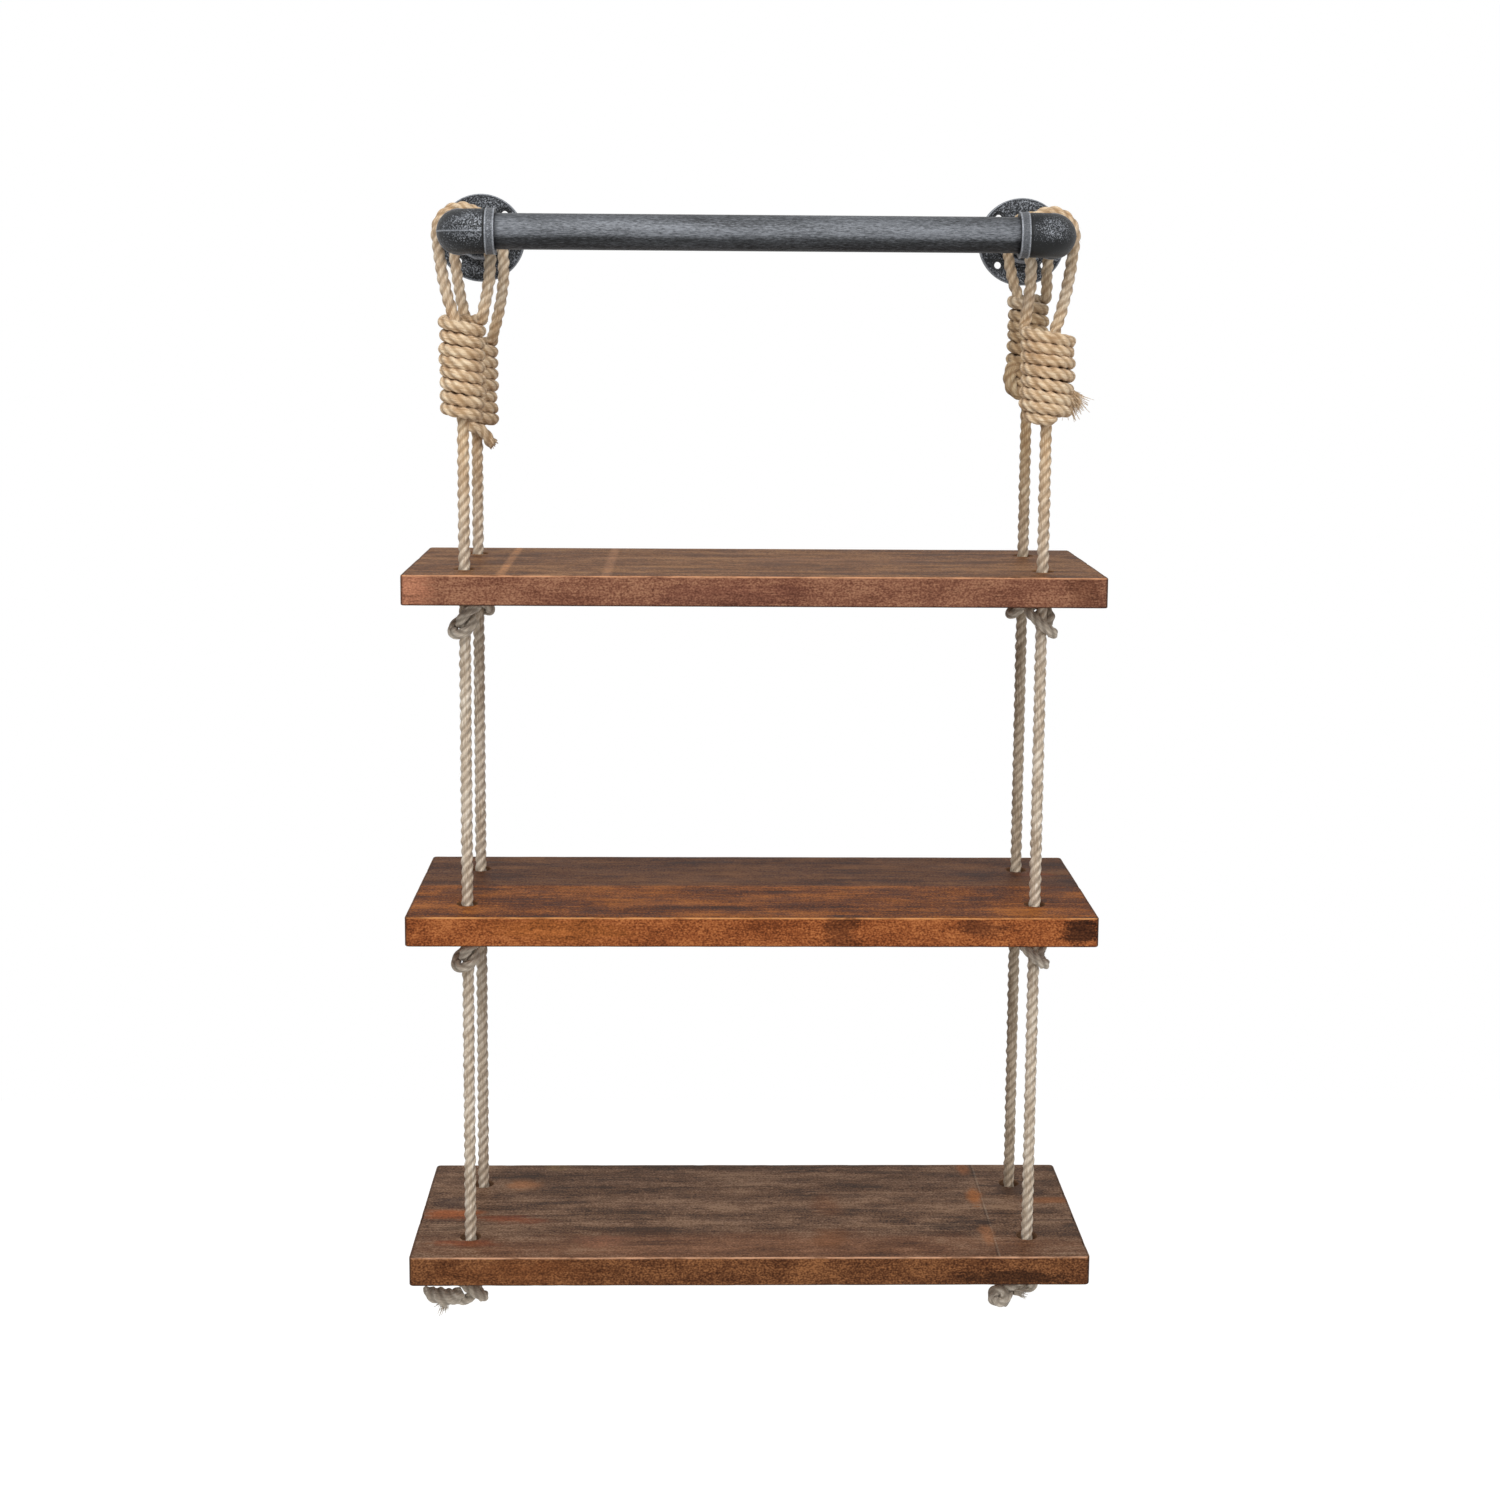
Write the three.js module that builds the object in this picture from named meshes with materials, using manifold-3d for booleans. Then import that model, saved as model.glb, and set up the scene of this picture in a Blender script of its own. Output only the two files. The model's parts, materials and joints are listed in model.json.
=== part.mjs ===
// Hanging rope shelf: three boards on four knotted ropes, hung from a pipe rack on the wall.
// Millimetres. The origin is on the wall, midway between the flanges, at the height of the pipes' axes.
// +X is to the right, -Y comes out of the wall towards the room, +Z is up.

import * as THREE from "three";
import { mergeVertices } from "three/addons/utils/BufferGeometryUtils.js";
import Module from "manifold-3d";

const wasm = await Module();
wasm.setup();

// Pipe rack
const pipeDiameter = 25.4;
const pipeWall = 2.6;
const rackReach = 187; // from the wall to the crossbar's axis
const elbowBodyDiameter = 31.5;
const elbowBandDiameter = 33;
const elbowBandWidth = 7;
const elbowBandChamfer = 0.8;
const elbowLegLength = 27.5; // from the elbow's corner to each open end
const elbowBendRadius = 18;
const socketDepth = 13;
const flangeDiameter = 68;
const flangeThickness = 5.5;
const flangeRimChamfer = 1;
const flangeHubDiameter = 34;
const flangeHubLength = 19;
const flangeHubChamfer = 1.5;
const flangeHubFillet = 3;
const screwCircleDiameter = 52;
const screwHoleDiameter = 5.5;
const screwHeadDiameter = 10.5;
const screwHeadLip = 0.6; // straight wall at the mouth of the countersink
const screwHeadDepth = 3;
const screwHolesPerFlange = 4;

// Boards
const boardWidth = 508;
const boardDepth = 184;
const boardThickness = 22;
const boardCornerRadius = 6;
const boardEdgeRound = 1.2;
const ropeHoleDiameter = 16;
const holeInsetFromEnd = 42;
const holeInsetFromFront = 40;
const holeInsetFromRear = 40;
const boardToWall = 10;
const upperBoardDrop = 243; // from the pipes' axes to the top of the upper board
const middleBoardDrop = 251; // from the top of the upper board to the top of the middle one
const lowerBoardDrop = 260;

// Rope
const ropeDiameter = 9;
const coilRopeDiameter = 8.1; // the rope pulled thin in a tight coil
const coilPitch = 8.6;
const knotRopeDiameter = 7.4;
const knotPitch = 8.45;
const swingPivotDrop = 156; // the ropes hang straight from here down, front to back
const nooseLeadIn = 6; // how far above its coil the standing rope starts to lean outwards
const loopWrap = 20; // degrees that a loop follows its pipe past level, at each side
const legPullShare = 0.4;
const coilPullShare = 0.5;
const tailPullShare = 0.3;
const nearTurnShare = 0.6; // of half a turn of rope: nearer points than that along it are one bend

// What each noose measures: the height of its coil's top, its outer diameter and its turns
const nooses = {
  front_left: { coilDrop: 57.5, coilDiameter: 34, turns: 7.25, firstLeg: -1, tailLength: 9, tailDrop: 4 },
  rear_left: { coilDrop: 74.5, coilDiameter: 33.5, turns: 7.75, firstLeg: -1, tailLength: 9, tailDrop: 6 },
  front_right: { coilDrop: 64, coilDiameter: 40, turns: 7.25, firstLeg: 1, tailLength: 26, tailDrop: 9 },
  rear_right: { coilDrop: 40, coilDiameter: 32.5, turns: 8.25, firstLeg: -1, tailLength: 9, tailDrop: 6 },
};

// Knots under the boards
const knotTurn = { front_left: 20, rear_left: 200, front_right: 150, rear_right: 330 }; // degrees about Z
const rollRoom = 1.3; // extra room over the one knot of each board that rolls under it

// The last knot of each rope is looser than the others: how far it is turned about Z and tilted, in degrees,
// how much lower it hangs, and its tail's points from the middle of the rope hole at the board's underside
const endKnotSizeShare = 1.06;
const endKnotPivotDrop = 4; // how far under its own top it tilts
const endKnots = {
  front_left: {
    turn: 180,
    tilt: 0,
    drop: 0,
    tail: [[-2, -1, -28.5], [-9, -1, -31.5], [-20, -4, -32], [-33, -4, -31]],
  },
  rear_left: { turn: 90, tilt: 0, drop: 0, tail: [[1, 2, -28.5], [1, 9.5, -31.5], [0, 20, -31]] },
  front_right: {
    turn: -60,
    tilt: 38,
    drop: 4,
    tail: [[-17, -3, -29.5], [-13, -8, -31.5], [-7, -10, -29], [1, -10, -25]],
  },
  rear_right: { turn: 90, tilt: 0, drop: 0, tail: [[-1, 2, -28.5], [-1, 9.5, -31.5], [0, 20, -31]] },
};

// An overhand knot's line from its upper end to its middle, in pitches of the rope from its centre. The
// lower half is the same line turned half round the knot's own Y axis.
const knotShares = [
  [0.09, -0.06, 0.73],
  [0.46, -0.34, 0.25],
  [0.42, -0.89, -0.3],
  [-0.13, -1.07, -0.89],
  [-0.72, -0.74, -1.16],
  [-1.03, -0.15, -1.13],
  [-0.96, 0.46, -0.88],
  [-0.58, 0.83, -0.46],
  [0, 0.86, 0],
];
const knotHalfHeightShare = 1.61;

// Clearances
const seatGap = 0.3; // between faces that touch on the real shelf
const socketClearance = 0.3; // round a pipe in its socket
const loopClearance = 0.3; // between a loop and the pipe that it hangs on
const knotExitGap = 0.7; // between a knot and the rope that goes on below it
const cutOverrun = 2; // how far a cutting shape passes the faces it cuts
const samePointDistance = 1e-4;

// Facets
const pipeSides = 18;
const flangeSides = 24;
const screwHoleSides = 8;
const bodySides = 16;
const bendSteps = 5;
const cornerSteps = 3;
const ropeHoleSides = 14;
const ropeSides = 6;
const runSides = 10;
const domeSteps = 1;
const loopArcSteps = 10;
const risingLegSteps = 4;
const fallingLegSteps = 6;
const coilTailSteps = 3;
const coilStepsPerTurn = 10;
const knotStepLength = 4.65;

// Sizes that follow from those above
const pipeRadius = pipeDiameter / 2;
const pipeBore = pipeRadius - pipeWall;
const ropeRadius = ropeDiameter / 2;
const coilRopeRadius = coilRopeDiameter / 2;
const knotRopeRadius = knotRopeDiameter / 2;
const socketRadius = pipeRadius + socketClearance;
const boardRearY = -boardToWall;
const boardFrontY = boardRearY - boardDepth;
const boardMiddleY = (boardRearY + boardFrontY) / 2;
const rowY = { front: boardFrontY + holeInsetFromFront, rear: boardRearY - holeInsetFromRear };
const sideSign = { left: -1, right: 1 };
const holeCutRadius = ropeHoleDiameter / 2 + boardEdgeRound; // the rounding takes it in to the hole's size
const ropeX = boardWidth / 2 - holeInsetFromEnd;
const standoffX = ropeX; // the pipes stand straight above the rope holes
const boardTops = {
  upper: -upperBoardDrop,
  middle: -upperBoardDrop - middleBoardDrop,
  lower: -upperBoardDrop - middleBoardDrop - lowerBoardDrop,
};

const material = (color, roughness, metalness) =>
  new THREE.MeshStandardMaterial({ color, roughness, metalness });
const castIron = () => material(0x3a3d42, 0.55, 0.8);
const pipeIron = () => material(0x34373c, 0.5, 0.8);
const stainedWood = () => material(0x6b4026, 0.6, 0);
const juteRope = () => material(0xc3a37c, 0.95, 0);

// Turns a closed geometry into a solid that can be cut and joined.
function toSolid(geometry) {
  const bare = geometry.clone();
  bare.deleteAttribute("normal");
  bare.deleteAttribute("uv");
  const merged = mergeVertices(bare, samePointDistance);
  const mesh = new wasm.Mesh({
    numProp: 3,
    vertProperties: new Float32Array(merged.attributes.position.array),
    triVerts: new Uint32Array(merged.index.array),
  });
  return new wasm.Manifold(mesh);
}

function facetedGeometry(positions, indices) {
  const geometry = new THREE.BufferGeometry();
  geometry.setAttribute("position", new THREE.Float32BufferAttribute(positions, 3));
  geometry.setIndex(indices);
  geometry.computeVertexNormals();
  return geometry;
}

function toGeometry(solid) {
  const mesh = solid.getMesh();
  return facetedGeometry([...mesh.vertProperties], [...mesh.triVerts]);
}

// Turns a profile of (radius, height) corners about the Y axis. The profile closes on itself.
function turned(corners, sides) {
  const profile = corners.map(([radius, height]) => new THREE.Vector2(radius, height));
  profile.push(profile[0].clone());
  return new THREE.LatheGeometry(profile, sides);
}

// A tube round a line of points, one ring of corners at each point, with flat ends.
function tubeAlong(points, radii, sides) {
  const positions = [];
  const indices = [];
  const last = points.length - 1;
  const tangent = (i) => points[Math.min(i + 1, last)].clone().sub(points[Math.max(i - 1, 0)]).normalize();
  let normal = Math.abs(tangent(0).z) > 0.5 ? new THREE.Vector3(0, 1, 0) : new THREE.Vector3(0, 0, 1);
  for (let i = 0; i <= last; i += 1) {
    const along = tangent(i);
    normal = normal.addScaledVector(along, -normal.dot(along)).normalize();
    const across = new THREE.Vector3().crossVectors(along, normal);
    for (let j = 0; j < sides; j += 1) {
      const angle = (2 * Math.PI * j) / sides;
      const corner = points[i].clone();
      corner.addScaledVector(normal, radii[i] * Math.cos(angle));
      corner.addScaledVector(across, radii[i] * Math.sin(angle));
      positions.push(...corner.toArray());
      const next = (j + 1) % sides;
      const here = i * sides;
      const ahead = here + sides;
      if (i < last) indices.push(here + j, here + next, ahead + j, here + next, ahead + next, ahead + j);
    }
  }
  const start = positions.length / 3;
  positions.push(...points[0].toArray(), ...points[last].toArray());
  for (let j = 0; j < sides; j += 1) {
    const next = (j + 1) % sides;
    indices.push(start, next, j);
    indices.push(start + 1, last * sides + j, last * sides + next);
  }
  return facetedGeometry(positions, indices);
}

// A smooth bend from one point and direction to another.
function bend(from, fromWay, to, toWay, steps, pullShare) {
  const pull = from.distanceTo(to) * pullShare;
  const curve = new THREE.CubicBezierCurve3(
    from,
    from.clone().addScaledVector(fromWay, pull),
    to.clone().addScaledVector(toWay, -pull),
    to,
  );
  return curve.getPoints(steps);
}

// Joins stretches of points end to end, leaving out the point that two of them share.
function joined(stretches) {
  return stretches.flatMap((stretch, i) => (i === 0 ? stretch : stretch.slice(1)));
}

// Points on a level turn about the Z axis that climbs or drops as it goes round.
function helix(radius, startAngle, turns, startZ, pitch, stepsPerTurn) {
  const count = Math.round(Math.abs(turns) * stepsPerTurn);
  return Array.from({ length: count + 1 }, (_, i) => {
    const turn = (turns * i) / count;
    const angle = startAngle + 2 * Math.PI * turn;
    const height = startZ + pitch * Math.abs(turn);
    return new THREE.Vector3(radius * Math.cos(angle), radius * Math.sin(angle), height);
  });
}

// The direction in which a helix runs at one of its angles.
function helixWay(radius, angle, turnSign, pitch) {
  const around = new THREE.Vector3(-Math.sin(angle), Math.cos(angle), 0).multiplyScalar(turnSign);
  const climb = pitch / (2 * Math.PI * radius);
  return around.add(new THREE.Vector3(0, 0, climb)).normalize();
}

// The least gap that a tube leaves to itself, measured on points along its line.
function leastSelfGap(points, radii) {
  const halves = points.slice(1).map((point, i) => [points[i], points[i].clone().lerp(point, 0.5), point]);
  const fine = joined(halves);
  const fineRadii = fine.map((_, i) => radii[Math.floor(i / 2)]);
  const travel = [0];
  for (let i = 1; i < fine.length; i += 1) travel.push(travel[i - 1] + fine[i].distanceTo(fine[i - 1]));
  let least = Infinity;
  for (let i = 0; i < fine.length; i += 1) {
    for (let j = i + 1; j < fine.length; j += 1) {
      const own = fineRadii[i] + fineRadii[j];
      const apart = travel[j] - travel[i] > own * Math.PI * nearTurnShare;
      if (apart) least = Math.min(least, fine[i].distanceTo(fine[j]) - own);
    }
  }
  return least;
}

const shelf = new THREE.Group();

function addMesh(parent, name, geometry, finish, position = [0, 0, 0]) {
  const mesh = new THREE.Mesh(geometry, finish);
  mesh.name = name;
  mesh.position.set(...position);
  parent.add(mesh);
  return mesh;
}

// A round flange: a flat disc with a chamfered rim, countersunk screw holes and a threaded hub. Its walls are
// rings of points joined one to the next, and its back and front faces are filled in between their rings.
function flangeGeometry() {
  const rim = flangeDiameter / 2;
  const hub = flangeHubDiameter / 2;
  const head = screwHeadDiameter / 2;
  const hole = screwHoleDiameter / 2;
  const shoulder = flangeHubLength - socketDepth;
  const positions = [];
  const indices = [];
  const addRing = ([radius, height], sides, turn, across, up) => {
    const first = positions.length / 3;
    return Array.from({ length: sides }, (_, i) => {
      const angle = turn + (2 * Math.PI * i) / sides;
      positions.push(across + radius * Math.cos(angle), height, up + radius * Math.sin(angle));
      return first + i;
    });
  };
  const addWalls = (profile, sides, turn = 0, across = 0, up = 0) => {
    const rings = profile.map((corner) => addRing(corner, sides, turn, across, up));
    for (let k = 1; k < rings.length; k += 1) {
      for (let i = 0; i < sides; i += 1) {
        const next = (i + 1) % sides;
        const here = rings[k - 1];
        const ahead = rings[k];
        indices.push(here[i], here[next], ahead[i], here[next], ahead[next], ahead[i]);
      }
    }
    return { first: rings[0], last: rings[rings.length - 1] };
  };
  const addFace = (outline, holes, facesWall) => {
    const flat = (ring) => ring.map((i) => new THREE.Vector2(positions[3 * i], positions[3 * i + 2]));
    const order = [outline, ...holes].flat();
    for (const [a, b, c] of THREE.ShapeUtils.triangulateShape(flat(outline), holes.map(flat))) {
      indices.push(order[a], ...(facesWall ? [order[c], order[b]] : [order[b], order[c]]));
    }
  };
  const outside = addWalls(
    [
      [rim, 0],
      [rim, -(flangeThickness - flangeRimChamfer)],
      [rim - flangeRimChamfer, -flangeThickness],
    ],
    flangeSides,
  );
  const middle = addWalls(
    [
      [hub + flangeHubFillet, -flangeThickness],
      [hub, -(flangeThickness + flangeHubFillet)],
      [hub, -(flangeHubLength - flangeHubChamfer)],
      [hub - flangeHubChamfer, -flangeHubLength],
      [socketRadius, -flangeHubLength],
      [socketRadius, -shoulder],
      [pipeBore, -shoulder],
      [pipeBore, 0],
    ],
    flangeSides,
  );
  const screwHole = [
    [head, -flangeThickness],
    [head, -(flangeThickness - screwHeadLip)],
    [hole, -(flangeThickness - screwHeadLip - screwHeadDepth)],
    [hole, 0],
  ];
  const screws = Array.from({ length: screwHolesPerFlange }, (_, i) => {
    const angle = (2 * Math.PI * (i + 0.5)) / screwHolesPerFlange;
    const away = screwCircleDiameter / 2;
    return addWalls(screwHole, screwHoleSides, 0, away * Math.cos(angle), away * Math.sin(angle));
  });
  addFace(outside.last, [middle.first, ...screws.map((screw) => screw.first)], false);
  addFace(outside.first, [middle.last, ...screws.map((screw) => screw.last)], true);
  return facetedGeometry(positions, indices);
}

// A length of pipe along Y, from the origin towards +Y.
function pipeGeometry(length) {
  return turned(
    [
      [pipeBore, 0],
      [pipeRadius, 0],
      [pipeRadius, length],
      [pipeBore, length],
    ],
    pipeSides,
  );
}

// An elbow at the origin with one leg towards +Y and one towards +X: a bent body, a raised band round each
// open end, a bent bore, and a socket in each end for its pipe.
function elbowGeometry() {
  const centre = new THREE.Vector3(elbowBendRadius, elbowBendRadius, 0);
  const corner = Array.from({ length: bendSteps + 1 }, (_, i) => {
    const angle = Math.PI + (Math.PI / 2) * (i / bendSteps);
    const spoke = new THREE.Vector3(Math.cos(angle), Math.sin(angle), 0).multiplyScalar(elbowBendRadius);
    return spoke.add(centre);
  });
  const bent = (legEnd, radius) => {
    const path = [new THREE.Vector3(0, legEnd, 0), ...corner, new THREE.Vector3(legEnd, 0, 0)];
    return toSolid(tubeAlong(path, path.map(() => radius), bodySides));
  };
  const band = elbowBandDiameter / 2;
  const bandInner = elbowLegLength - elbowBandWidth;
  const bandCorners = [
    [0, bandInner],
    [band - elbowBandChamfer, bandInner],
    [band, bandInner + elbowBandChamfer],
    [band, elbowLegLength - elbowBandChamfer],
    [band - elbowBandChamfer, elbowLegLength],
    [0, elbowLegLength],
  ].map(([radius, height]) => new THREE.Vector2(radius, height));
  const socketCorners = [
    [0, elbowLegLength - socketDepth],
    [socketRadius, elbowLegLength - socketDepth],
    [socketRadius, elbowLegLength + cutOverrun],
    [0, elbowLegLength + cutOverrun],
  ].map(([radius, height]) => new THREE.Vector2(radius, height));
  const onBothLegs = (corners) => {
    const alongY = toSolid(new THREE.LatheGeometry(corners, pipeSides));
    return alongY.add(toSolid(new THREE.LatheGeometry(corners, pipeSides).rotateZ(-Math.PI / 2)));
  };
  const outside = bent(elbowLegLength - elbowBandChamfer, elbowBodyDiameter / 2).add(onBothLegs(bandCorners));
  const inside = bent(elbowLegLength + cutOverrun, pipeBore).add(onBothLegs(socketCorners));
  return toGeometry(outside.subtract(inside));
}

// A board with rounded corners, softened edges and a hole for each rope. Its top is at z = 0.
function boardGeometry() {
  const corner = boardCornerRadius - boardEdgeRound;
  const arcPoints = (x, y, radius, from, turn, steps) =>
    Array.from({ length: steps + 1 }, (_, i) => {
      const angle = from + (turn * i) / steps;
      return new THREE.Vector2(x + radius * Math.cos(angle), y + radius * Math.sin(angle));
    });
  const quarters = [
    [1, 1],
    [-1, 1],
    [-1, -1],
    [1, -1],
  ];
  const outline = new THREE.Shape(
    quarters.flatMap(([acrossSign, depthSign], i) => {
      const x = acrossSign * (boardWidth / 2 - boardCornerRadius);
      const y = depthSign * (boardDepth / 2 - boardCornerRadius);
      return arcPoints(x, y, corner, (i * Math.PI) / 2, Math.PI / 2, cornerSteps);
    }),
  );
  for (const sign of Object.values(sideSign)) {
    for (const row of Object.values(rowY)) {
      const hole = arcPoints(sign * ropeX, row - boardMiddleY, holeCutRadius, 0, -2 * Math.PI, ropeHoleSides);
      outline.holes.push(new THREE.Path(hole.slice(1)));
    }
  }
  const geometry = new THREE.ExtrudeGeometry(outline, {
    depth: boardThickness - 2 * boardEdgeRound,
    bevelThickness: boardEdgeRound,
    bevelSize: boardEdgeRound,
    bevelSegments: 1,
  });
  return geometry.translate(0, 0, boardEdgeRound - boardThickness);
}

// A straight run of rope, hanging from z = 0 down to -length, with both ends domed past those points.
function ropeRunGeometry(length) {
  const profile = new THREE.Path();
  profile.moveTo(0, -ropeRadius);
  profile.absarc(0, 0, ropeRadius, -Math.PI / 2, 0);
  profile.absarc(0, length, ropeRadius, 0, Math.PI / 2);
  const geometry = new THREE.LatheGeometry(profile.getPoints(domeSteps), runSides);
  return geometry.rotateX(Math.PI / 2).translate(0, 0, -length);
}

// The line of a noose, one unbroken rope: up through the coil, up one leg, over the standoff pipe, down the
// other leg, and round and round the standing rope to a short tail.
function nooseLine(noose) {
  const loopRadius = pipeRadius + loopClearance + ropeRadius;
  const coilRadius = noose.coilDiameter / 2 - coilRopeRadius;
  const coilStartZ = -noose.coilDrop - coilRopeRadius;
  const first = noose.firstLeg;
  const up = new THREE.Vector3(0, 0, 1);
  const foot = new THREE.Vector3(0, 0, -swingPivotDrop + ropeRadius + seatGap);
  const throat = new THREE.Vector3(0, 0, nooseLeadIn - noose.coilDrop);
  const lean = THREE.MathUtils.degToRad(loopWrap);
  const arc = Array.from({ length: loopArcSteps + 1 }, (_, i) => {
    const angle = -lean + (Math.PI + 2 * lean) * (i / loopArcSteps);
    return new THREE.Vector3(first * loopRadius * Math.cos(angle), 0, loopRadius * Math.sin(angle));
  });
  const onWay = new THREE.Vector3(first * Math.sin(lean), 0, Math.cos(lean));
  const offWay = new THREE.Vector3(first * Math.sin(lean), 0, -Math.cos(lean));
  const startAngle = first > 0 ? Math.PI : 0;
  const coil = helix(coilRadius, startAngle, noose.turns, coilStartZ, -coilPitch, coilStepsPerTurn);
  const coilWay = (angle) => helixWay(coilRadius, angle, 1, -coilPitch);
  const endAngle = startAngle + 2 * Math.PI * noose.turns;
  const coilEnd = coil[coil.length - 1];
  const tailEnd = coilEnd.clone().addScaledVector(coilWay(endAngle), noose.tailLength);
  tailEnd.z -= noose.tailDrop;
  const tailWay = new THREE.Vector3().subVectors(tailEnd, coilEnd).normalize();
  const stretches = [
    [foot, throat],
    bend(throat, up, arc[0], onWay, risingLegSteps, legPullShare),
    arc,
    bend(arc[loopArcSteps], offWay, coil[0], coilWay(startAngle), fallingLegSteps, coilPullShare),
    coil,
    bend(coilEnd, coilWay(endAngle), tailEnd, tailWay, coilTailSteps, tailPullShare),
  ];
  const points = joined(stretches);
  const coilFrom = points.indexOf(coil[1]);
  const radii = points.map((_, i) => (i < coilFrom - 1 ? ropeRadius : coilRopeRadius));
  return { points, radii };
}

// The line of an overhand knot under a board, one unbroken rope from z = -seatGap down: in at the top, round
// itself and out at the bottom, or, for the last knot of a rope, tilted and off along its tail's points.
function knotLine(turnDegrees, room, ending) {
  const pitch = knotPitch * (ending ? endKnotSizeShare : 1);
  const half = knotHalfHeightShare * pitch;
  const place = ([x, y, z]) => new THREE.Vector3(x, y, z).multiplyScalar(pitch);
  const opposite = ({ x, y, z }) => new THREE.Vector3(-x, y, -z);
  const inward = knotShares.map(place);
  const face = new THREE.Vector3(0, 0, half);
  const throat = new THREE.Vector3(0, 0, (half + inward[0].z) / 2);
  const outward = inward.slice(0, -1).reverse().map(opposite);
  const way = [face, throat, ...inward, ...outward];
  if (!ending) way.push(opposite(throat), opposite(face));
  const up = new THREE.Vector3(0, 0, 1);
  for (const point of way) {
    point.applyAxisAngle(up, THREE.MathUtils.degToRad(turnDegrees));
    point.z -= half;
  }
  if (ending && ending.tilt) {
    const fore = new THREE.Vector3(0, 1, 0);
    for (const point of way) {
      point.z += endKnotPivotDrop;
      point.applyAxisAngle(fore, THREE.MathUtils.degToRad(ending.tilt));
      point.z -= endKnotPivotDrop;
    }
    way.unshift(new THREE.Vector3(0, 0, 0));
  }
  for (const point of way) point.z -= seatGap + room;
  if (room > 0) way.unshift(new THREE.Vector3(0, 0, -seatGap));
  if (ending) way.push(...ending.tail.map((point) => new THREE.Vector3(...point)));
  const curve = new THREE.CatmullRomCurve3(way, false, "centripetal");
  const points = curve.getSpacedPoints(Math.round(curve.getLength() / knotStepLength));
  return { points, radii: points.map(() => knotRopeRadius * (ending ? endKnotSizeShare : 1)) };
}

function addRopeForm(parent, name, line, position) {
  addMesh(parent, name, tubeAlong(line.points, line.radii, ropeSides), juteRope(), position);
  console.log(`${name}: least gap to itself ${leastSelfGap(line.points, line.radii).toFixed(2)} mm`);
}

// Rack
const rack = new THREE.Group();
shelf.add(rack);
for (const [side, sign] of Object.entries(sideSign)) {
  const x = sign * standoffX;
  addMesh(rack, `wall_flange_${side}`, flangeGeometry(), castIron(), [x, 0, 0]);
  const standoffStart = -(rackReach - elbowLegLength + socketDepth) + seatGap;
  const standoffEnd = -(flangeHubLength - socketDepth) - seatGap;
  const standoff = pipeGeometry(standoffEnd - standoffStart);
  addMesh(rack, `standoff_pipe_${side}`, standoff, pipeIron(), [x, standoffStart, 0]);
  const elbow = addMesh(rack, `elbow_${side}`, elbowGeometry(), castIron(), [x, -rackReach, 0]);
  if (sign > 0) elbow.rotation.y = Math.PI;
}
const crossbarHalf = standoffX - elbowLegLength + socketDepth - seatGap;
const crossbar = pipeGeometry(2 * crossbarHalf).translate(0, -crossbarHalf, 0).rotateZ(Math.PI / 2);
addMesh(rack, "crossbar_pipe", crossbar, pipeIron(), [0, -rackReach, 0]);

// Boards
for (const [level, top] of Object.entries(boardTops)) {
  addMesh(shelf, `board_${level}`, boardGeometry(), stainedWood(), [0, boardMiddleY, top]);
}

// Ropes
for (const [side, sign] of Object.entries(sideSign)) {
  for (const [row, y] of Object.entries(rowY)) {
    const rope = new THREE.Group();
    rope.position.set(sign * ropeX, y, 0);
    shelf.add(rope);
    const corner = `${row}_${side}`;
    addRopeForm(rope, `noose_${corner}`, nooseLine(nooses[corner]));
    const ownRoom = corner === "front_left" ? rollRoom : 0;
    let runTop = -swingPivotDrop;
    for (const [level, top] of Object.entries(boardTops)) {
      const underside = top - boardThickness;
      const run = ropeRunGeometry(runTop - underside - ropeRadius);
      addMesh(rope, `rope_${corner}_${level}`, run, juteRope(), [0, 0, runTop]);
      const ending = level === "lower" ? endKnots[corner] : null;
      const room = ownRoom + (ending ? ending.drop : 0);
      const knot = knotLine(ending ? ending.turn : knotTurn[corner], room, ending);
      addRopeForm(rope, `knot_${corner}_${level}`, knot, [0, 0, underside]);
      const knotFoot = knot.points[knot.points.length - 1].z;
      runTop = underside + knotFoot - knotExitGap - ropeRadius;
    }
  }
}

export default shelf;
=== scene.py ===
import json
import math
from functools import partial
from itertools import accumulate

import bpy
import numpy as np
from mathutils import Matrix

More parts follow.
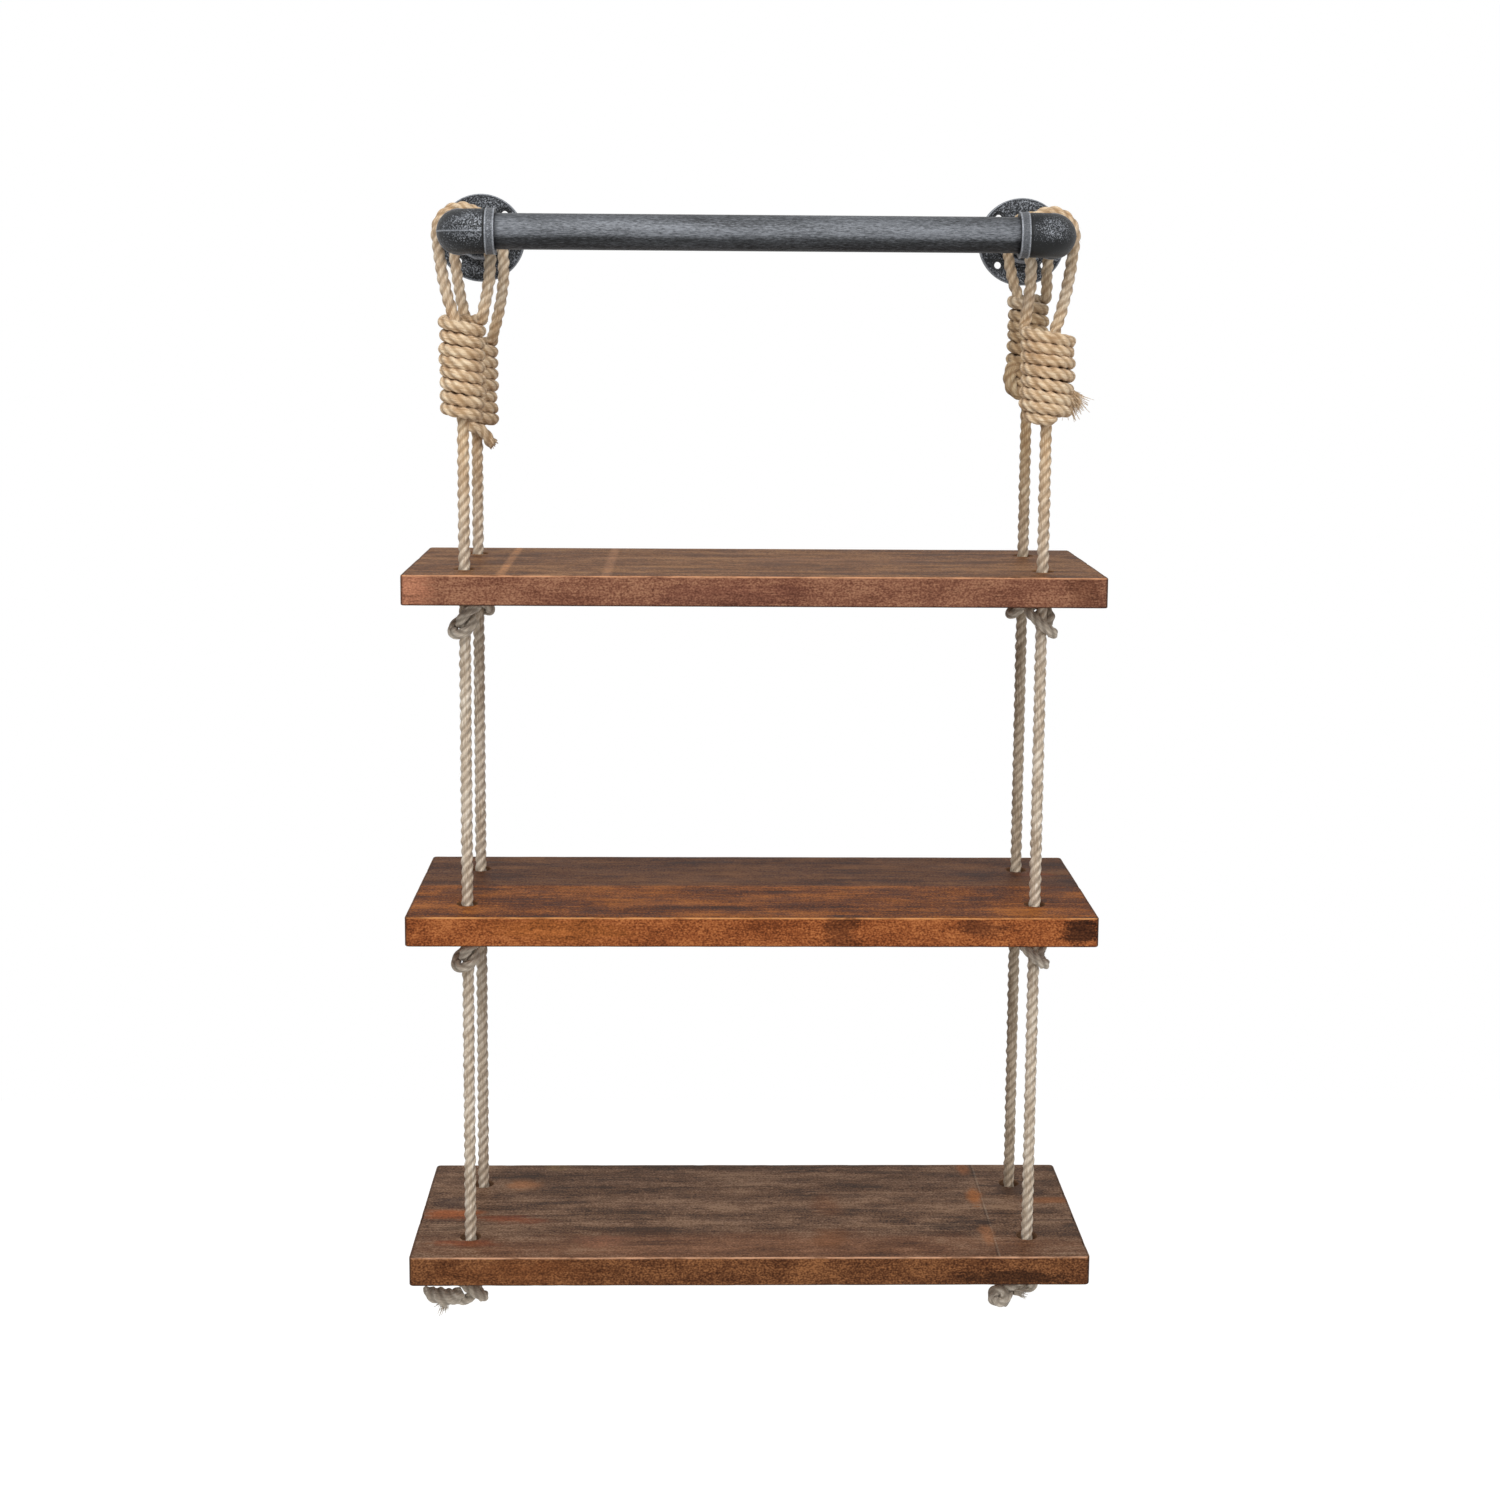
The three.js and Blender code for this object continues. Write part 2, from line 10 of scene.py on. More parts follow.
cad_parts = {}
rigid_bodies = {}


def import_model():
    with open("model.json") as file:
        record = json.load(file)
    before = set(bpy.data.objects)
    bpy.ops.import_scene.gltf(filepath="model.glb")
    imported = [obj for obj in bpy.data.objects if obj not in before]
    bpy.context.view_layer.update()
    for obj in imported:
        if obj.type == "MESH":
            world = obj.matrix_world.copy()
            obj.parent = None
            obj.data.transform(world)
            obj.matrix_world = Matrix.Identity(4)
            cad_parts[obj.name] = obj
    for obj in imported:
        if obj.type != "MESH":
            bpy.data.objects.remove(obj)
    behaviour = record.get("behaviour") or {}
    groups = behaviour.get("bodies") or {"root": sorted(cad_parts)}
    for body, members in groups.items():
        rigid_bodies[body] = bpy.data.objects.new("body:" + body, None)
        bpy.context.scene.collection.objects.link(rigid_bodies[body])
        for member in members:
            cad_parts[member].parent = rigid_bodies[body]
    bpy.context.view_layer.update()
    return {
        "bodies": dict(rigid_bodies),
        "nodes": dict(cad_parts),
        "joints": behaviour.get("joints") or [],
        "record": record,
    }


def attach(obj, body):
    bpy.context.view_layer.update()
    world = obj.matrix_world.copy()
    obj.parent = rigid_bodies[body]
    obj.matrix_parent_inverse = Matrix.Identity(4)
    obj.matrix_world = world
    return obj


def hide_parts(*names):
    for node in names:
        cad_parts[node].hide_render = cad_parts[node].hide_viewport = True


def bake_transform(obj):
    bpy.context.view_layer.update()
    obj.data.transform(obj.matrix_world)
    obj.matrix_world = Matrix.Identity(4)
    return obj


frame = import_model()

# Hanging rope shelf. Lengths are in millimetres until a mesh is made, and then in metres.
# +X is to the right, -Y towards the room, +Z up. The origin is on the wall at the height of the pipes.

metre = 0.001
full_turn = 2 * math.pi

# Rack
pipe_radius = 12.7
pipe_bore = 10.1
rack_reach = 187.0
rope_x = 212.0
elbow_leg = 27.5
elbow_bend_radius = 18.0
elbow_radius = 15.75
band_radius = 16.5
band_width = 7.0
socket_depth = 13.0
flange_radius = 34.0
flange_thickness = 5.5
flange_rim_chamfer = 1.0
flange_hub_fillet = 3.0
flange_hub_chamfer = 1.5
hub_radius = 17.0
hub_length = 19.0
screw_circle_radius = 26.0
screw_hole_radius = 2.75
screw_head_radius = 5.25
screw_head_lip = 0.6
screw_head_depth = 3.0

# Boards
board_width = 508.0
board_depth = 184.0
board_thickness = 22.0
board_rear_y = -10.0
board_corner = 3.5
hole_radius = 8.0
board_tops = {"upper": -243.0, "middle": -494.0, "lower": -754.0}
row_y = {"front": -154.0, "rear": -50.0}
side_sign = {"left": -1, "right": 1}

# Rope
rope_radius = 4.5
coil_rope_radius = 4.55
core_depth = 22.0  # how far down in the coil the rope leaves the coil's axis
coil_pitch = 8.6
coil_lead = 12.0  # how far before its coil the rope takes the coil's thickness
loop_clearance = 0.3
lay_length = 23.5
rope_foot = 4.0  # how far under the lowest board a cord's own line starts
knot_pitch = 8.45
knot_rope_radius = 4.0
points_per_stretch = 14  # along a knot or rope end, from one chosen point to the next
seat_gap = 0.3
roll_room = 1.3  # more room over the knots that turn under their boards
knot_half_share = 1.61
end_knot_share = 1.06
end_knot_pivot_drop = 4.0
# Each noose: how far its winding's top lies below the pipe's axis, the winding's width and number of turns,
# the side on which the rope goes up first, its tail from the last turn on, how much the first turn swells and
# the last one narrows, and how slack the loop is
nooses = {
    "front_left": dict(
        drop=57.5, across=34.0, turns=8.25, first=-1, tail=(3, 4, 3), plump=1.3, taper=2.2, slack=6),
    "rear_left": dict(
        drop=74.5, across=33.5, turns=7.75, first=-1, tail=(13, 2, -13), plump=0.4, taper=1.0, slack=6),
    "front_right": dict(
        drop=64.0, across=40.0, turns=7.25, first=1, tail=(3, 5, 3), plump=0.3, taper=2.4, slack=2),
    "rear_right": dict(
        drop=40.0, across=32.5, turns=8.25, first=-1, tail=(-3, -5, 3), plump=0.8, taper=0.4, slack=1),
}
# How the knots are turned about the rope, in degrees, and the last knot of each rope: its turn and tilt in
# degrees, how much lower it sits, and the points of its tail
knot_turn = {"front_left": 20, "rear_left": 200, "front_right": 150, "rear_right": 330}
end_knots = {
    "front_left": dict(turn=180, tilt=0, drop=0, tail=[[-2, -1, -27.5], [-9, -2, -27.5], [-15, -4, -26]]),
    "rear_left": dict(turn=90, tilt=0, drop=0, tail=[[1, 2, -28.5], [1, 9.5, -31.5], [0, 20, -31]]),
    "front_right": dict(turn=-60, tilt=38, drop=4, tail=[[-17, -3, -28], [-15, -6, -28.5]]),
    "rear_right": dict(turn=90, tilt=0, drop=0, tail=[[-1, 2, -28.5], [-1, 9.5, -31.5], [0, 20, -31]]),
}
# Half of an overhand knot's line, from its upper crossing to its middle, as shares of the knot's pitch
knot_line_shares = np.array([
    [0.09, -0.06, 0.73],
    [0.46, -0.34, 0.25],
    [0.42, -0.89, -0.3],
    [-0.13, -1.07, -0.89],
    [-0.72, -0.74, -1.16],
    [-1.03, -0.15, -1.13],
    [-0.96, 0.46, -0.88],
    [-0.58, 0.83, -0.46],
    [0.0, 0.86, 0.0],
])


def linear(hex_colour):
    """Turns an sRGB hex colour into the linear values that a shader takes."""
    parts = [int(hex_colour[i:i + 2], 16) / 255 for i in (1, 3, 5)]
    return tuple(c / 12.92 if c <= 0.04045 else ((c + 0.055) / 1.055) ** 2.4 for c in parts) + (1.0,)


def grey(value):
    """An opaque linear grey."""
    return (value, value, value, 1.0)


def add_node(tree, kind, inputs=(), output=0, stops=(), **settings):
    """Adds one node with its settings and links, and returns one of its outputs, or the node where output is
    None. inputs are values or other nodes' outputs, one for each socket in turn, or by the socket's name or
    number. stops are a colour ramp's (place, colour) stops."""
    made = tree.nodes.new("ShaderNode" + kind)
    for name, value in settings.items():
        setattr(made, name, value)
    sockets = inputs.items() if isinstance(inputs, dict) else enumerate(inputs)
    for socket, value in sockets:
        if isinstance(value, bpy.types.NodeSocket):
            tree.links.new(value, made.inputs[socket])
        else:
            made.inputs[socket].default_value = value
    if stops:
        band = made.color_ramp.elements
        while len(band) < len(stops):
            band.new(0.5)
        for element, (place, colour) in zip(band, stops):
            element.position = place
            element.color = colour
    return made if output is None else made.outputs[output]


def new_material(name):
    """An empty node material, the function that adds a node to it, and object coordinates in millimetres."""
    finish = bpy.data.materials.new(name)
    finish.use_nodes = True
    finish.node_tree.nodes.clear()
    node = partial(add_node, finish.node_tree)
    place = node("Mapping", {"Vector": node("TexCoord", output="Object"), "Scale": (1000, 1000, 1000)})
    return finish, node, place


def piece(name, finish, points, faces, attributes=None, smooth=True):
    """Makes a mesh object from millimetre points and faces, with its place in its mesh."""
    mesh = bpy.data.meshes.new(name)
    mesh.from_pydata((np.asarray(points) * metre).tolist(), [], [list(map(int, f)) for f in faces])
    for key, values in (attributes or {}).items():
        values = np.asarray(values, dtype=np.float32)
        kind = "FLOAT_VECTOR" if values.ndim == 2 else "FLOAT"
        made = mesh.attributes.new(key, kind, "POINT")
        made.data.foreach_set("vector" if values.ndim == 2 else "value", values.ravel())
    mesh.polygons.foreach_set("use_smooth", np.full(len(mesh.polygons), smooth))
    mesh.update()
    made = bpy.data.objects.new(name, mesh)
    bpy.context.scene.collection.objects.link(made)
    made.data.materials.append(finish)
    return made


def grid_faces(rows, columns):
    """Quads of a grid of rows x columns points, row after row, each row closed on itself."""
    row, column = np.meshgrid(np.arange(rows - 1), np.arange(columns), indexing="ij")
    ahead = (column + 1) % columns
    here, beyond = row * columns, (row + 1) * columns
    return np.stack([here + column, here + ahead, beyond + ahead, beyond + column], -1).reshape(-1, 4)


# Camera, at the place worked out from the boards' corners, the rope holes and the rack

camera_place = np.array([-38.74, -1812.38, -46.66])
camera_yaw, camera_pitch, camera_roll = 0.02157, 0.13096, 0.00705
camera_focal_share = 2278.36 / 1500  # focal length in widths of the frame
camera_rise_share = 150 / 1500  # how far the lens axis lies above the frame's middle
sensor_width = 36.0


def make_camera():
    """The camera that was fitted to the photograph: turned a little, looking slightly down."""
    forward = np.array([
        math.sin(camera_yaw) * math.cos(camera_pitch),
        math.cos(camera_yaw) * math.cos(camera_pitch),
        -math.sin(camera_pitch),
    ])
    level = np.array([math.cos(camera_yaw), -math.sin(camera_yaw), 0.0])
    upward = np.cross(level, forward)
    right = math.cos(camera_roll) * level + math.sin(camera_roll) * upward
    up = -math.sin(camera_roll) * level + math.cos(camera_roll) * upward
    lens = bpy.data.cameras.new("camera")
    lens.sensor_width = sensor_width
    lens.lens = camera_focal_share * sensor_width
    lens.shift_y = -camera_rise_share
    lens.clip_start = 0.05
    lens.clip_end = 50
    camera = bpy.data.objects.new("camera", lens)
    turn = Matrix([list(row) for row in np.column_stack([right, up, -forward])]).to_4x4()
    camera.matrix_world = Matrix.Translation(camera_place * metre) @ turn
    bpy.context.scene.collection.objects.link(camera)
    bpy.context.scene.camera = camera


make_camera()


# Rope lines

rise_lean, fall_lean = math.radians(5), math.radians(20)
slack_from = 3  # a noose slacker than this comes off the pipe leaning out
arc_steps = 60
coil_steps_per_turn = 72
# How a winding's turns vary in reach: by how much, how often, and how the noose's drop shifts that
coil_waves = [(0.35, 2.3, 1), (0.25, 5.1, 2)]
plump_turns, taper_turns = 0.7, 0.6
coil_tilt, coil_tilt_wave, coil_tilt_rate = 0.9, 0.5, 1.4


def distances(points):
    """How far along a line of points each of them lies."""
    return np.r_[0, np.cumsum(np.linalg.norm(np.diff(points, axis=0), axis=1))]


def bezier(start, start_way, end, end_way, steps, first_share, last_share):
    """A cubic curve that leaves start along start_way and reaches end along end_way, each for a share."""
    start, end = np.asarray(start, float), np.asarray(end, float)
    span = np.linalg.norm(end - start)
    t = np.linspace(0, 1, steps + 1)[:, None]
    a = start + np.asarray(start_way) * span * first_share
    b = end - np.asarray(end_way) * span * last_share
    return (1 - t) ** 3 * start + 3 * (1 - t) ** 2 * t * a + 3 * (1 - t) * t * t * b + t ** 3 * end


def even_steps(points, step):
    """Points spaced evenly along a line of points."""
    lengths = distances(points)
    wanted = np.linspace(0, lengths[-1], max(3, int(round(lengths[-1] / step)) + 1))
    return np.column_stack([np.interp(wanted, lengths, points[:, k]) for k in range(3)]), wanted


def catmull(points):
    """A smooth centripetal curve through points, its knots spaced by the root of their distances."""
    points = np.asarray(points, float)
    first = points[:1] * 2 - points[1:2]
    last = points[-1:] * 2 - points[-2:-1]
    p = np.vstack([first, points, last])
    u = np.r_[0, np.cumsum(np.sqrt(np.linalg.norm(np.diff(p, axis=0), axis=1)))]
    out = []
    for i in range(1, len(p) - 2):
        t = np.linspace(u[i], u[i + 1], points_per_stretch, endpoint=False)[:, None]
        a1 = ((u[i] - t) * p[i - 1] + (t - u[i - 1]) * p[i]) / (u[i] - u[i - 1])
        a2 = ((u[i + 1] - t) * p[i] + (t - u[i]) * p[i + 1]) / (u[i + 1] - u[i])
        a3 = ((u[i + 2] - t) * p[i + 1] + (t - u[i + 1]) * p[i + 2]) / (u[i + 2] - u[i + 1])
        b1 = ((u[i + 1] - t) * a1 + (t - u[i - 1]) * a2) / (u[i + 1] - u[i - 1])
        b2 = ((u[i + 2] - t) * a2 + (t - u[i]) * a3) / (u[i + 2] - u[i])
        out.append(((u[i + 1] - t) * b1 + (t - u[i]) * b2) / (u[i + 1] - u[i]))
    return np.vstack(out + [points[-1:]])


def noose_line(noose):
    """A noose: up the coil's core, up one leg, over the pipe, down the other leg, and down round the core."""
    loop = pipe_radius + loop_clearance + rope_radius
    radius = noose["across"] / 2 - coil_rope_radius
    first, drop, turns, slack = noose["first"], noose["drop"], noose["turns"], noose["slack"]
    last = math.pi - (fall_lean if slack > slack_from else -fall_lean)
    angle = np.linspace(-rise_lean, last, arc_steps)
    arc = np.column_stack([first * loop * np.cos(angle), 0 * angle, loop * np.sin(angle)])
    on_way = (first * math.sin(rise_lean), 0, math.cos(rise_lean))
    off_way = np.array([-first * math.sin(last), 0, math.cos(last)])
    throat = (0, 0, -drop - core_depth)
    start = math.pi if first > 0 else 0.0
    turn = np.linspace(0, turns, int(turns * coil_steps_per_turn))
    around = start + full_turn * turn
    uneven = sum(size * np.sin(rate * turn + shift * drop) for size, rate, shift in coil_waves)
    first_turn = np.exp(-(turn / plump_turns) ** 2)
    last_turn = np.exp(-((turns - turn) / taper_turns) ** 2)
    reach = radius + (noose["plump"] * first_turn - noose["taper"] * last_turn) + uneven
    tilt = coil_tilt + coil_tilt_wave * np.sin(coil_tilt_rate * turn + drop)
    top = -drop - coil_rope_radius
    height = top - coil_pitch * turn - tilt * (np.cos(around) - math.cos(start))
    coil = np.column_stack([reach * np.cos(around), reach * np.sin(around), height])
    coil_way = coil[1] - coil[0]
    coil_way /= np.linalg.norm(coil_way)
    end_way = coil[-1] - coil[-2]
    end_way /= np.linalg.norm(end_way)
    tail_end = coil[-1] + noose["tail"]
    tail_way = np.array(noose["tail"]) / np.linalg.norm(noose["tail"])
    sag = 0.35 + 0.02 * slack
    return np.vstack([
        bezier(throat, (0, 0, 1), arc[0], on_way, steps=30, first_share=0.15, last_share=0.7),
        arc[1:],
        bezier(arc[-1], off_way, coil[0], coil_way, steps=40, first_share=sag, last_share=0.35)[1:],
        coil[1:],
        bezier(coil[-1], end_way, tail_end, tail_way, steps=12, first_share=0.4, last_share=0.4)[1:],
    ])


def turned_about(points, axis, degrees):
    """Points turned about one of the axes through the origin."""
    return points @ np.array(Matrix.Rotation(math.radians(degrees), 3, axis)).T


def knot_line(turn_degrees, room, ending):
    """An overhand knot from z = -seat_gap down: the upper half's points, then the same turned half round. The
    last knot of a rope is tilted and goes off along its tail's points."""
    pitch = knot_pitch * (end_knot_share if ending else 1)
    half = knot_half_share * pitch
    inward = knot_line_shares * pitch
    face = np.array([[0, 0, half]])
    throat = np.array([[0, 0, (half + inward[0, 2]) / 2]])
    flip = np.array([-1, 1, -1])
    outward = inward[:-1][::-1] * flip
    way = np.vstack([face, throat, inward, outward])
    if not ending:
        way = np.vstack([way, throat * flip, face * flip])
    way = turned_about(way, "Z", turn_degrees) - [0, 0, half]
    if ending and ending["tilt"]:
        pivot = np.array([0, 0, end_knot_pivot_drop])
        way = np.vstack([[[0, 0, 0]], turned_about(way + pivot, "Y", ending["tilt"]) - pivot])
    way = way - [0, 0, seat_gap + room]
    if room > 0:
        way = np.vstack([[[0, 0, -seat_gap]], way])
    if ending:
        way = np.vstack([way, ending["tail"]])
    return catmull(way)


# Laid rope

strands = 3
points_per_strand = 10
strand_centre_share = 0.52
strand_radius_share = 0.48
groove_floor_share = 0.82
groove_fill_power = 10
rope_step = 0.95
knot_rope_step = 0.8
# How a rope swells along its strands: by which share, over how many millimetres, how far and over how many
# millimetres that wanders, and how many swellings there are round the rope
rope_swells = [(0.035, 3.1, 2.1, 17, 3), (0.02, 1.3, 3, 7, 5)]
# The hairs of fibre: lengths and thicknesses in millimetres, the rest as shares of a hair's length
hairs_per_millimetre = 0.6
hair_length = (1.2, 4.2)
hair_lean_share = (0.5, 1.6)
hair_sway_share = (-0.5, 0.5)
hair_lift_share = (0.35, 0.75)
hair_thickness = (0.07, 0.13)
hair_root_share = 0.82
# Loose yarns at a cut end: how many, their length, and how far they spread and droop, as shares of the length
knot_fray = (30, 5.0, 0.5, 0.15)
stub_fray = (40, 3.5, 0.25, 0.0)
fan_fray = (230, 21.0, 0.34, 0.05)
loose_fray = (60, 9.0, 0.3, 0.0)
curl_fray = (70, 9.5, 0.3, 0.0)
# Where the yarns of a fray start and which way they set off
fan_root_and_way = (12.5, 1.0, -108.0), (0.5, -0.1, -0.86)
loose_root_and_way = (-19.0, -7.0, -27.0), (-0.35, 0.0, -0.94)
curl_root_and_way = (-8.5, -8.0, -19.0), (0.99, 0.0, -0.12)
yarn_length_share = (0.55, 1.0)
yarn_radius = (0.35, 0.6)
yarn_stray_share = 0.16
fold_points = [
    [-11, -8, -95],
    [-14.8, -11.5, -102],
    [-14.2, -12.5, -110],
    [-8.5, -12.5, -116.5],
    [-2.5, -12, -113.5],
    [-1, -11, -106],
    [-3, -7, -98],
]
fold_rope_radius = 5.3
# What shows under the lower board: a loosened, fuller rope end on the left and a rope end curled up on the
# right, each with frayed yarns. Points are from where the rope's axis meets the underside.
loose_end_points = [
    [-6, -4, -20],
    [-12, -6, -23],
    [-20, -7, -23],
    [-27, -7, -21.5],
    [-32, -6, -19],
    [-35, -5, -16],
]
loose_end_radii = (4.0, 6.3, 7.0, 6.8, 5.6, 1.5)
curl_centre, curl_radii = (-21.5, -8.0, -22.0), (6.2, 2.2)
curl_turns, curl_start = 1.6, math.radians(20)
curl_lean = 1.5
curl_rope_radius = 4.4


def laid_section():
    """Radius round a rope of three strands: each strand's own circle, its grooves filled with fibre, and how
    deep in a groove each point lies."""
    count = strands * points_per_strand
    angle = np.arange(count) * full_turn / count
    from_strand = (angle + math.pi / strands) % (full_turn / strands) - math.pi / strands
    across = strand_centre_share * np.sin(from_strand)
    circle = np.sqrt(np.maximum(strand_radius_share ** 2 - across ** 2, 0))
    reach = strand_centre_share * np.cos(from_strand) + circle
    filled = (reach ** groove_fill_power + groove_floor_share ** groove_fill_power) ** (1 / groove_fill_power)
    radius = filled / filled.max()
    depth = (1 - radius) / (1 - radius.min())
    return angle, radius, depth


def carried_frames(line):
    """Directions along, across and over at each point, carried along the line with the least twist."""
    along = np.gradient(line, axis=0)
    along /= np.linalg.norm(along, axis=1)[:, None]
    start = np.array([1.0, 0, 0]) if abs(along[0, 0]) < 0.9 else np.array([0, 1.0, 0])

    def carry(before, way):
        """What is left of a direction when the part along the line's new way is taken off it."""
        kept = before - way * before.dot(way)
        return kept / np.linalg.norm(kept)

    across = np.array(list(accumulate(along, carry, initial=start))[1:])
    return along, across, np.cross(along, across)


def rope_hairs(path, travel, size, frames, seed, base):
    """Hairs of fibre: thin three-sided spikes that leave the rope's skin, rise, lean along the rope and bend
    aside. base is the number of points before theirs. Returns their points, their faces and where they stand
    on the rope laid out straight."""
    along, across, over = frames
    rng = np.random.default_rng(seed)
    count = int(hairs_per_millimetre * travel[-1])
    at = rng.uniform(2, travel[-1] - 2, count)
    index = np.clip(np.searchsorted(travel, at), 0, len(path) - 1)
    around = rng.uniform(0, full_turn, count)
    out = np.cos(around)[:, None] * across[index] + np.sin(around)[:, None] * over[index]
    side = np.cross(along[index], out)
    length = rng.uniform(*hair_length, count)
    lean = rng.choice([-1, 1], count) * rng.uniform(*hair_lean_share, count)
    sway = rng.uniform(*hair_sway_share, count)
    thick = rng.uniform(*hair_thickness, count)
    lift = rng.uniform(*hair_lift_share, count)
    t = np.array([0.0, 0.4, 0.75, 1.0])
    bends = [(out, lift, t * (1.25 - 0.45 * t)), (along[index], lean, t ** 1.3), (side, sway, t ** 2)]
    spine = (path[index] + out * (size[index] * hair_root_share)[:, None])[:, None]
    for way, amount, bend in bends:
        spine = spine + way[:, None] * (length * amount)[:, None, None] * bend[:, None]
    corner = (np.arange(3) * full_turn / 3)[:, None]
    ring = np.cos(corner) * side[:, None] + np.sin(corner) * along[index][:, None]
    tapered = thick[:, None] * (1 - 0.85 * t)
    hair = spine[:, :, None] + tapered[..., None, None] * ring[:, None]
    points_per_hair = 3 * len(t)
    first = base + np.arange(count)[:, None] * points_per_hair
    walls = (first[..., None] + grid_faces(len(t), 3)).reshape(-1, 4)
    tips = first + points_per_hair - 3 + np.arange(3)
    stand = np.column_stack([size[index] * np.cos(around), size[index] * np.sin(around), at])
    return hair.reshape(-1, 3), walls.tolist() + tips.tolist(), np.repeat(stand, points_per_hair, 0)


def laid_rope(line, radii, step, seed):
    """A three-strand rope: the laid section, turned once for each lay length as it goes along the line,
    swelling a little in waves, closed at both ends and hairy. Returns its points, faces and attributes, its
    length and its evenly spaced line."""
    path, travel = even_steps(line, step)
    size = np.interp(travel, np.linspace(0, travel[-1], len(radii)), radii)
    frames = carried_frames(path)
    _, across, over = frames
    angle, section, depth = laid_section()
    way = travel[:, None]
    swell = 1
    for share, period, wander, wander_period, lobes in rope_swells:
        phase = way / period + wander * np.sin(way / wander_period) + angle * lobes
        swell = swell + share * np.sin(phase)
    turned = angle + full_turn * way / lay_length
    reach = size[:, None] * section * swell
    ring = np.cos(turned)[..., None] * across[:, None] + np.sin(turned)[..., None] * over[:, None]
    points = path[:, None] + reach[..., None] * ring
    rows, columns = turned.shape
    first_cap, last_row = rows * columns, (rows - 1) * columns
    here = np.arange(columns)
    ahead = (here + 1) % columns
    faces = grid_faces(rows, columns).tolist()
    faces += np.column_stack([np.full(columns, first_cap), ahead, here]).tolist()
    faces += np.column_stack([np.full(columns, first_cap + 1), last_row + here, last_row + ahead]).tolist()
    flank = size[:, None]
    straight = np.stack([flank * np.cos(turned), flank * np.sin(turned), way + 0 * turned], -1)
    hair_points, hair_faces, hair_straight = rope_hairs(path, travel, size, frames, seed, first_cap + 2)
    points = np.vstack([points.reshape(-1, 3), path[0], path[-1], hair_points])
    straight = np.vstack([straight.reshape(-1, 3), (0, 0, 0), (0, 0, travel[-1]), hair_straight])
    # How deep each point lies between strands, from which the material paints shade; caps and hairs get none
    groove = np.r_[np.tile(depth, rows), 0.3, 0.3, np.full(len(hair_points), -0.3)]
    return points, faces + hair_faces, {"straight": straight, "groove": groove}, travel[-1], path


def frayed_end(line, radius, fray, seed):
    """Loose yarns at a rope's cut end: thin tapered tubes of five rings of five points that start spread over
    the rope's section and lean out and down by amounts that grow with the square of the way along them."""
    count, length, spread, droop = fray
    path, _ = even_steps(line, 1.0)
    along, across, over = (frame[-1] for frame in carried_frames(path))
    rng = np.random.default_rng(seed)
    around = rng.uniform(0, full_turn, count)
    share = np.sqrt(rng.uniform(0, 1, count))
    radial = np.cos(around)[:, None] * across + np.sin(around)[:, None] * over
    reach = length * rng.uniform(*yarn_length_share, count)
    t = np.linspace(0, 1, 5)
    lean = radial * share[:, None] * spread + rng.normal(0, yarn_stray_share, (count, 3)) + [0, 0, -droop]
    root = path[-1] + radial * (0.8 * radius * share)[:, None] - along * 1.5
    spine = (root[:, None] + along * (reach[:, None] * t)[..., None]
             + lean[:, None] * (reach[:, None] * t ** 2)[..., None])
    corner = np.arange(5) * full_turn / 5
    thick = rng.uniform(*yarn_radius, count)[:, None] * (1 - 0.6 * t)
    ring = np.cos(corner)[:, None] * across + np.sin(corner)[:, None] * over
    tubes = (spine[:, :, None] + thick[..., None, None] * ring).reshape(-1, 3)
    one = grid_faces(5, 5).tolist() + [[4, 3, 2, 1, 0], [20, 21, 22, 23, 24]]
    faces = [[25 * n + corner for corner in face] for n in range(count) for face in one]
    # Painted shade: the yarns' roots get a groove value and so are drawn a little darker
    groove = np.tile(np.repeat([0.6, 0.25, 0.0, 0.0, 0.0], 5), count)
    return tubes, faces, {"straight": tubes - path[-1], "groove": groove}


